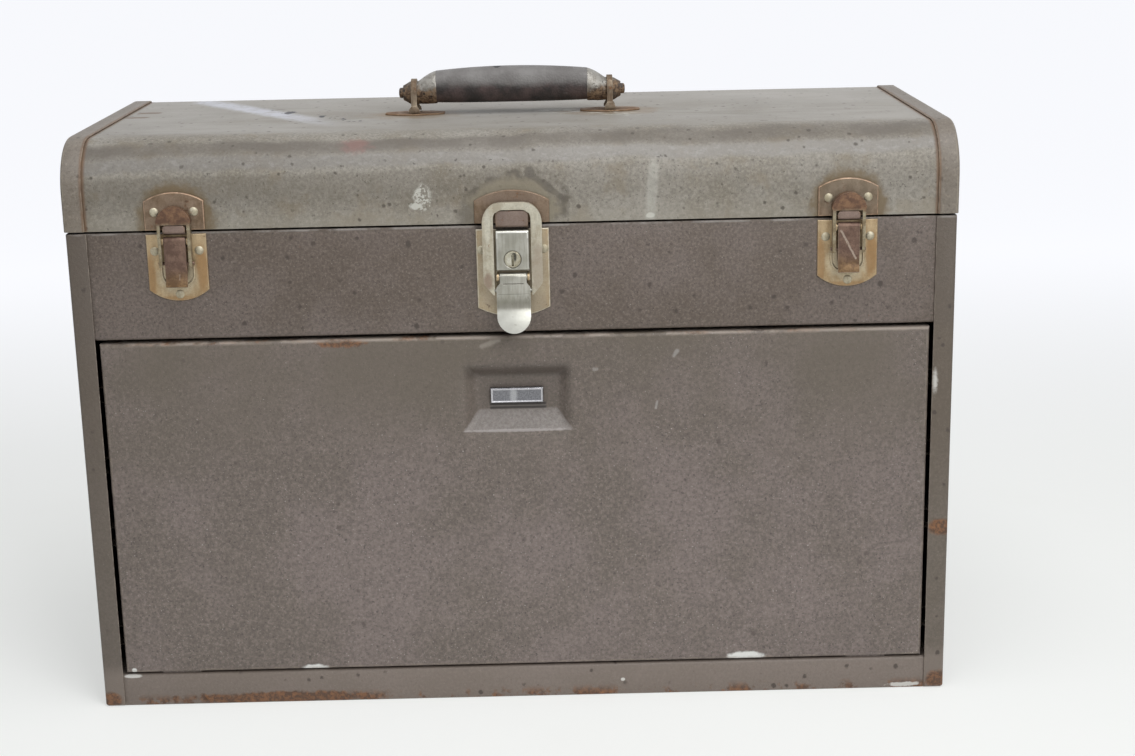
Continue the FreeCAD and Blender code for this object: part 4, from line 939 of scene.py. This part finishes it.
def front_panel():
    low, high = (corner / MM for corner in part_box("front_panel"))
    bend = 2.0
    bm = bmesh.new()
    mask = bm.faces.layers.float.new("edge")
    pan(
        bm, mask,
        spaced((low.x + bend, -34, 34), (-34, 35, 1.15), (35, high.x - bend, 34)),
        spaced((21.2 + bend, DENT_LIP, 29), (DENT_LIP, 211, 1.06), (211, high.z - bend, 13.2)),
        low.y, dent_depth, 1.0, high.y, bend)
    for x in (-220.0, 196.0):
        tab(bm, (x, low.y + 2.5, low.z), (x + 24.0, high.y - 1.0, 21.9), 1.2)
    piece = add_piece("front_panel_finished", bm, "front_panel", "panel_paint", smooth_below=60.0)
    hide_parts("front_panel")


def nameplate():
    """The bright plate in the dent: a raised rim round a recessed field, left without words."""
    bm = node_copy("nameplate", 0.01)
    bm.normal_update()
    mask = bm.faces.layers.float.new("edge")
    field = min(bm.faces, key=lambda f: f.calc_center_median().y)
    rim = bmesh.ops.inset_region(bm, faces=[field], thickness=0.85 * MM, depth=0.0)
    for face in rim["faces"]:
        face[mask] = 1.0
    for vert in field.verts:
        vert.co.y += 0.4 * MM
    bm.normal_update()
    edges = [e for e in bm.edges if e.calc_face_angle(0.0) > 0.5]
    round_edges(bm, edges, 0.16, 2, mask)
    piece = add_piece("nameplate_finished", bm, "front_panel", "nameplate_bright")
    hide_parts("nameplate")


front_panel()
nameplate()


def bridge(bm, loops, closed=False):
    """Quads from each ring to the next, and from the last back to the first if closed."""
    count = len(loops[0])
    for low, high in list(zip(loops, loops[1:])) + ([(loops[-1], loops[0])] if closed else []):
        for side in range(count):
            after = (side + 1) % count
            bm.faces.new((low[side], low[after], high[after], high[side]))


def dome(bm, place, outward, radius, height, rings=4, sides=20):
    """Add a domed rivet head to bm, standing on place."""
    turn = outward.to_track_quat("Z", "Y").to_matrix()
    loops = []
    for ring in range(rings):
        tilt = math.pi / 2 * ring / rings
        loops.append([
            bm.verts.new(place + turn @ Vector((
                radius * math.cos(tilt) * math.cos(2 * math.pi * side / sides),
                radius * math.cos(tilt) * math.sin(2 * math.pi * side / sides),
                height * math.sin(tilt))))
            for side in range(sides)])
    crown = bm.verts.new(place + turn @ Vector((0, 0, height)))
    bridge(bm, loops)
    for side in range(sides):
        bm.faces.new((loops[-1][side], loops[-1][(side + 1) % sides], crown))
    bm.faces.new(list(reversed(loops[0])))


def rivets(name, body, places, outward, radius=2.6 * MM, height=0.95 * MM):
    bm = bmesh.new()
    for place in places:
        dome(bm, Vector(place) * MM, outward, radius, height)
    add_piece(name, bm, body, "rivet_steel", smooth_below=60.0)


plate_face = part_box("lock_case")[1].y / MM  # front of the case's latch plates
strike_face = -108.8
rivets("case_rivets", "case", [
    (x + dx, plate_face, z)
    for x in SIDES for dx, z in ((-12.6, 280.8), (12.9, 280.8), (0.3, 255.5))
] + [(dx, plate_face, 277.5) for dx in (-18.0, 18.0)], FRONT)
rivets("lid_rivets", "lid", [
    (x + dx, strike_face, 303.5) for x in SIDES for dx in (-11.3, 11.3)
], FRONT)


def ring_points(x, centre_z, half_y, half_z, squareness, sides=36, centre_y=5.0):
    """A closed section across X; squareness 1 is an ellipse, less is boxier."""
    points = []
    for side in range(sides):
        turn = 2 * math.pi * side / sides
        c, s = math.cos(turn), math.sin(turn)
        points.append(Vector((
            x,
            centre_y + half_y * math.copysign(abs(c) ** squareness, c),
            centre_z + half_z * math.copysign(abs(s) ** squareness, s))) * MM)
    return points


def loft(bm, sections):
    loops = [[bm.verts.new(p) for p in section] for section in sections]
    bridge(bm, loops)
    bm.faces.new(list(reversed(loops[0])))
    bm.faces.new(loops[-1])
    bmesh.ops.recalc_face_normals(bm, faces=bm.faces)


GRIP_HALF, GRIP_LOW, GRIP_HIGH, GRIP_END_HIGH = 46.8, 349.5, 371.7, 369.4


def grip():
    stations = 28
    sections = []
    for i in range(stations + 1):
        t = -1 + 2 * i / stations
        high = GRIP_HIGH - (GRIP_HIGH - GRIP_END_HIGH) * t * t
        low = GRIP_LOW + 0.5 * t ** 4
        half_y = 10.3 - 0.8 * t * t
        sections.append(ring_points(
            GRIP_HALF * t, (high + low) / 2, half_y, (high - low) / 2, 0.84))
    bm = bmesh.new()
    loft(bm, sections)
    piece = add_piece("grip", bm, "grip", "grip_leather", smooth_below=50.0)
    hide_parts("handle_grip")


def ferrules():
    """Tapered ends of the grip: shoulder, neck in the loop, cone, and the rod's peened end."""
    profile = [  # x, centre z, radius
        (46.4, 359.4, 9.2), (46.5, 359.4, 9.9), (47.2, 359.3, 10.0), (48.6, 359.0, 9.8),
        (50.4, 358.6, 9.4), (52.5, 358.0, 8.9), (54.4, 357.4, 8.3), (56.2, 356.8, 7.6),
        (57.8, 356.3, 7.05), (63.0, 356.2, 6.9),
        (63.6, 356.2, 6.6), (65.6, 356.2, 5.4), (67.3, 356.2, 4.5), (67.4, 356.2, 3.2),
        (69.2, 356.2, 3.1), (69.8, 356.2, 2.5), (70.0, 356.2, 1.5),
    ]
    bm = bmesh.new()
    for side in (-1, 1):
        part = bmesh.new()
        loft(part, [ring_points(side * x, z, r, r, 1.0) for x, z, r in profile])
        mesh = bpy.data.meshes.new("ferrule")
        part.to_mesh(mesh)
        part.free()
        bm.from_mesh(mesh)
        bpy.data.meshes.remove(mesh)
    piece = add_piece("ferrules", bm, "grip", "ferrule_steel")
    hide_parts("handle_ferrules")


def sweep(bm, path, radius, sides=10, closed=False):
    """A round bead along a path in the XZ plane, given in millimetres."""
    loops = []
    count = len(path)
    for i, point in enumerate(path):
        before = path[i - 1] if closed or i else point
        after = path[(i + 1) % count] if closed or i < count - 1 else point
        along = (Vector(after) - Vector(before)).normalized()
        across = along.cross(FRONT).normalized()
        loops.append([
            bm.verts.new((
                Vector(point) + radius * math.cos(turn) * across + radius * math.sin(turn) * FRONT
            ) * MM)
            for turn in (2 * math.pi * k / sides for k in range(sides))])
    bridge(bm, loops, closed)
    if not closed:
        bm.faces.new(loops[0])
        bm.faces.new(loops[-1])
    bmesh.ops.recalc_face_normals(bm, faces=bm.faces)


def latch_beads():
    """The raised bead pressed into each side plate round the lever's tip."""
    half, top, centre = 9.3, 271.5, 267.2
    bm = bmesh.new()
    for x in SIDES:
        path = [(x - half, plate_face + 0.15, top)]
        for step in range(17):
            turn = math.pi + math.pi * step / 16
            path.append((x + half * math.cos(turn), plate_face, centre + 7.6 * math.sin(turn)))
        path.append((x + half, plate_face + 0.15, top))
        sweep(bm, path, 0.85)
    add_piece("latch_beads", bm, "case", "latch_plate", smooth_below=60.0)


def plug_ring():
    """The rolled ring round the lock's plug."""
    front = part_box("lock_case")[0].y / MM
    turns = [2 * math.pi * k / 40 for k in range(40)]
    path = [(4.5 * math.cos(t), front + 0.1, 273.0 + 4.5 * math.sin(t)) for t in turns]
    bm = bmesh.new()
    sweep(bm, path, 0.3, sides=8, closed=True)
    add_piece("plug_ring", bm, "case", "plug_brass", smooth_below=60.0)


grip()
ferrules()
latch_beads()
plug_ring()


def felt_sheet(name, body, low, high, thickness, replaced=()):
    """A laid felt lining with a slightly uneven nap."""
    cell = 6 * MM
    nx = max(2, round((high[0] - low[0]) / cell))
    ny = max(2, round((high[1] - low[1]) / cell))
    bm = bmesh.new()
    grid = []
    for i in range(nx + 1):
        column = []
        for j in range(ny + 1):
            x = low[0] + (high[0] - low[0]) * i / nx
            y = low[1] + (high[1] - low[1]) * j / ny
            swell = 0.10 * math.sin(37 * x) * math.sin(29 * y + 1) + 0.06 * math.sin(91 * x + 70 * y)
            rim = 0.35 if i in (0, nx) or j in (0, ny) else 0.0
            column.append(bm.verts.new((x, y, low[2] + thickness * (0.86 + swell - rim))))
        grid.append(column)
    for i in range(nx):
        for j in range(ny):
            bm.faces.new((grid[i][j], grid[i + 1][j], grid[i + 1][j + 1], grid[i][j + 1]))
    rim_edges = [e for e in bm.edges if e.is_boundary]
    made = bmesh.ops.extrude_edge_only(bm, edges=rim_edges)
    for vert in [v for v in made["geom"] if isinstance(v, bmesh.types.BMVert)]:
        vert.co.z = low[2] + 0.02 * MM
    bmesh.ops.holes_fill(bm, edges=[e for e in bm.edges if e.is_boundary])
    bmesh.ops.recalc_face_normals(bm, faces=bm.faces)
    piece = add_piece(name, bm, body, "felt", smooth_below=70.0)
    if replaced:
        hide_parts(*replaced)


def felts():
    low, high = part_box("till_felt")
    inset = Vector((0.4 * MM, 0.4 * MM, 0))
    felt_sheet("till_lining", "case", low + inset, high - inset, high.z - low.z, ("till_felt",))
    sheet, lining = 0.9 * MM, 1.2 * MM
    for number in range(1, 8):
        low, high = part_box(f"drawer_{number}")
        corner = Vector((1.4 * MM, 2.4 * MM, sheet))
        felt_sheet(
            f"drawer_lining_{number}", f"drawer_{number}", low + corner,
            Vector((high.x - 1.4 * MM, high.y - 1.4 * MM, 0)), lining)


# ---------------------------------------------------------------- studio


def set_camera():
    turn = (Matrix.Rotation(CAMERA_ROLL, 3, "Y") @ Matrix.Rotation(CAMERA_PITCH, 3, "X")
            @ Matrix.Rotation(CAMERA_YAW, 3, "Z"))
    right, ahead, up = turn.row[0], turn.row[1], turn.row[2]
    data = bpy.data.cameras.new("camera")
    data.sensor_width = SENSOR_WIDTH
    data.lens = FOCAL_PIXELS / FRAME_WIDTH * SENSOR_WIDTH
    data.clip_start = 0.05
    camera = add_object("camera", data)
    pose = Matrix((right, up, -ahead)).transposed().to_4x4()
    pose.translation = -(turn.transposed() @ CHEST_FROM_CAMERA)
    camera.matrix_world = pose
    bpy.context.scene.camera = camera


def seen_directly(tree):
    """1 for camera, glossy and transmission rays."""
    path = tree.nodes.new("ShaderNodeLightPath")
    total = path.outputs["Is Camera Ray"]
    for name in ("Is Glossy Ray", "Is Transmission Ray"):
        join = tree.nodes.new("ShaderNodeMath")
        join.operation = "MAXIMUM"
        tree.links.new(total, join.inputs[0])
        tree.links.new(path.outputs[name], join.inputs[1])
        total = join.outputs[0]
    return total


WORLD_LIGHT = 0.42
BACKGROUND = (0.915, 0.925, 0.96)


def set_world():
    world = bpy.data.worlds.new("studio")
    world.use_nodes = True
    tree = world.node_tree
    light = tree.nodes["Background"]
    light.inputs["Color"].default_value = (1.0, 0.99, 0.97, 1.0)
    light.inputs["Strength"].default_value = WORLD_LIGHT
    seen = tree.nodes.new("ShaderNodeBackground")
    seen.inputs["Color"].default_value = (*BACKGROUND, 1.0)
    mix = tree.nodes.new("ShaderNodeMixShader")
    tree.links.new(seen_directly(tree), mix.inputs[0])
    tree.links.new(light.outputs[0], mix.inputs[1])
    tree.links.new(seen.outputs[0], mix.inputs[2])
    tree.links.new(mix.outputs[0], tree.nodes["World Output"].inputs["Surface"])
    bpy.context.scene.world = world


def add_lamp(name, place, target, size, power):
    data = bpy.data.lights.new(name, "AREA")
    data.shape = "RECTANGLE"
    data.size, data.size_y = size
    data.energy = power
    lamp = add_object(name, data)
    lamp.location = place
    aim = Vector(target) - Vector(place)
    lamp.rotation_euler = aim.to_track_quat("-Z", "Y").to_euler()


FLOOR_BOUNCE = (0.90, 0.90, 0.89)
ROOM_BOUNCE = (0.30, 0.30, 0.30)
FLOOR_LIFT = (0.45, 0.46, 0.455)
PAPER_GLOW = 0.55  # light thrown up by the paper in front


def add_floor():
    """A pale sweep: level under the chest, curved up far behind it."""
    half, front, back, radius, height = 4.0, -3.0, 1.3, 0.9, 3.0
    steps = 16
    profile = [(front, 0.0)]
    for i in range(steps + 1):
        turn = math.pi / 2 * i / steps
        profile.append((back + radius * math.sin(turn), radius * (1 - math.cos(turn))))
    profile.append((back + radius, height))
    bm = bmesh.new()
    rows = [[bm.verts.new((x, y, z - 0.0002)) for x in (-half, half)] for y, z in profile]
    for low, high in zip(rows, rows[1:]):
        bm.faces.new((low[0], low[1], high[1], high[0]))
    mesh = mesh_from("floor", bm)
    floor = add_object("floor", mesh)
    look = Look("floor")
    stain = look.cloud(0.55, 0.75, 0.35, 5.0, 0.6)
    white = look.mix(look.times(stain, 0.3), (0.46, 0.465, 0.46), (0.42, 0.415, 0.40))
    far = look.band(look.y, 0.15, 1.3)
    seen = seen_directly(look.tree)
    near_white = look.mix(far, white, (0.0, 0.0, 0.0))
    reach = look.vector("LENGTH", look.point, output="Value")
    bounce = look.mix(look.band(reach, 0.6, 1.2), FLOOR_BOUNCE, ROOM_BOUNCE)
    look.colour = look.mix(seen, bounce, near_white)
    look.finish(0.9)
    lift = look.mix(far, FLOOR_LIFT, BACKGROUND)
    look.feed(look.shader.inputs["Emission Color"], look.mix(seen, (1.0, 1.0, 1.0), lift))
    paper = look.patch((0.0, -340.0, 0.0), (420.0, 200.0, 100.0), soft=0.3, ragged=0.0)
    glow = look.blend(seen, look.times(paper, PAPER_GLOW), 1.0)
    look.feed(look.shader.inputs["Emission Strength"], glow)
    mesh.materials.append(look.material)


felts()
set_camera()
set_world()
add_floor()
add_lamp("key", (0.85, -1.55, 1.35), (0.0, 0.0, 0.2), (1.0, 0.8), 16.5)
add_lamp("top", (0.1, -0.5, 2.0), (0.0, 0.0, 0.2), (1.2, 1.0), 16.0)
bpy.context.scene.view_settings.view_transform = "Standard"
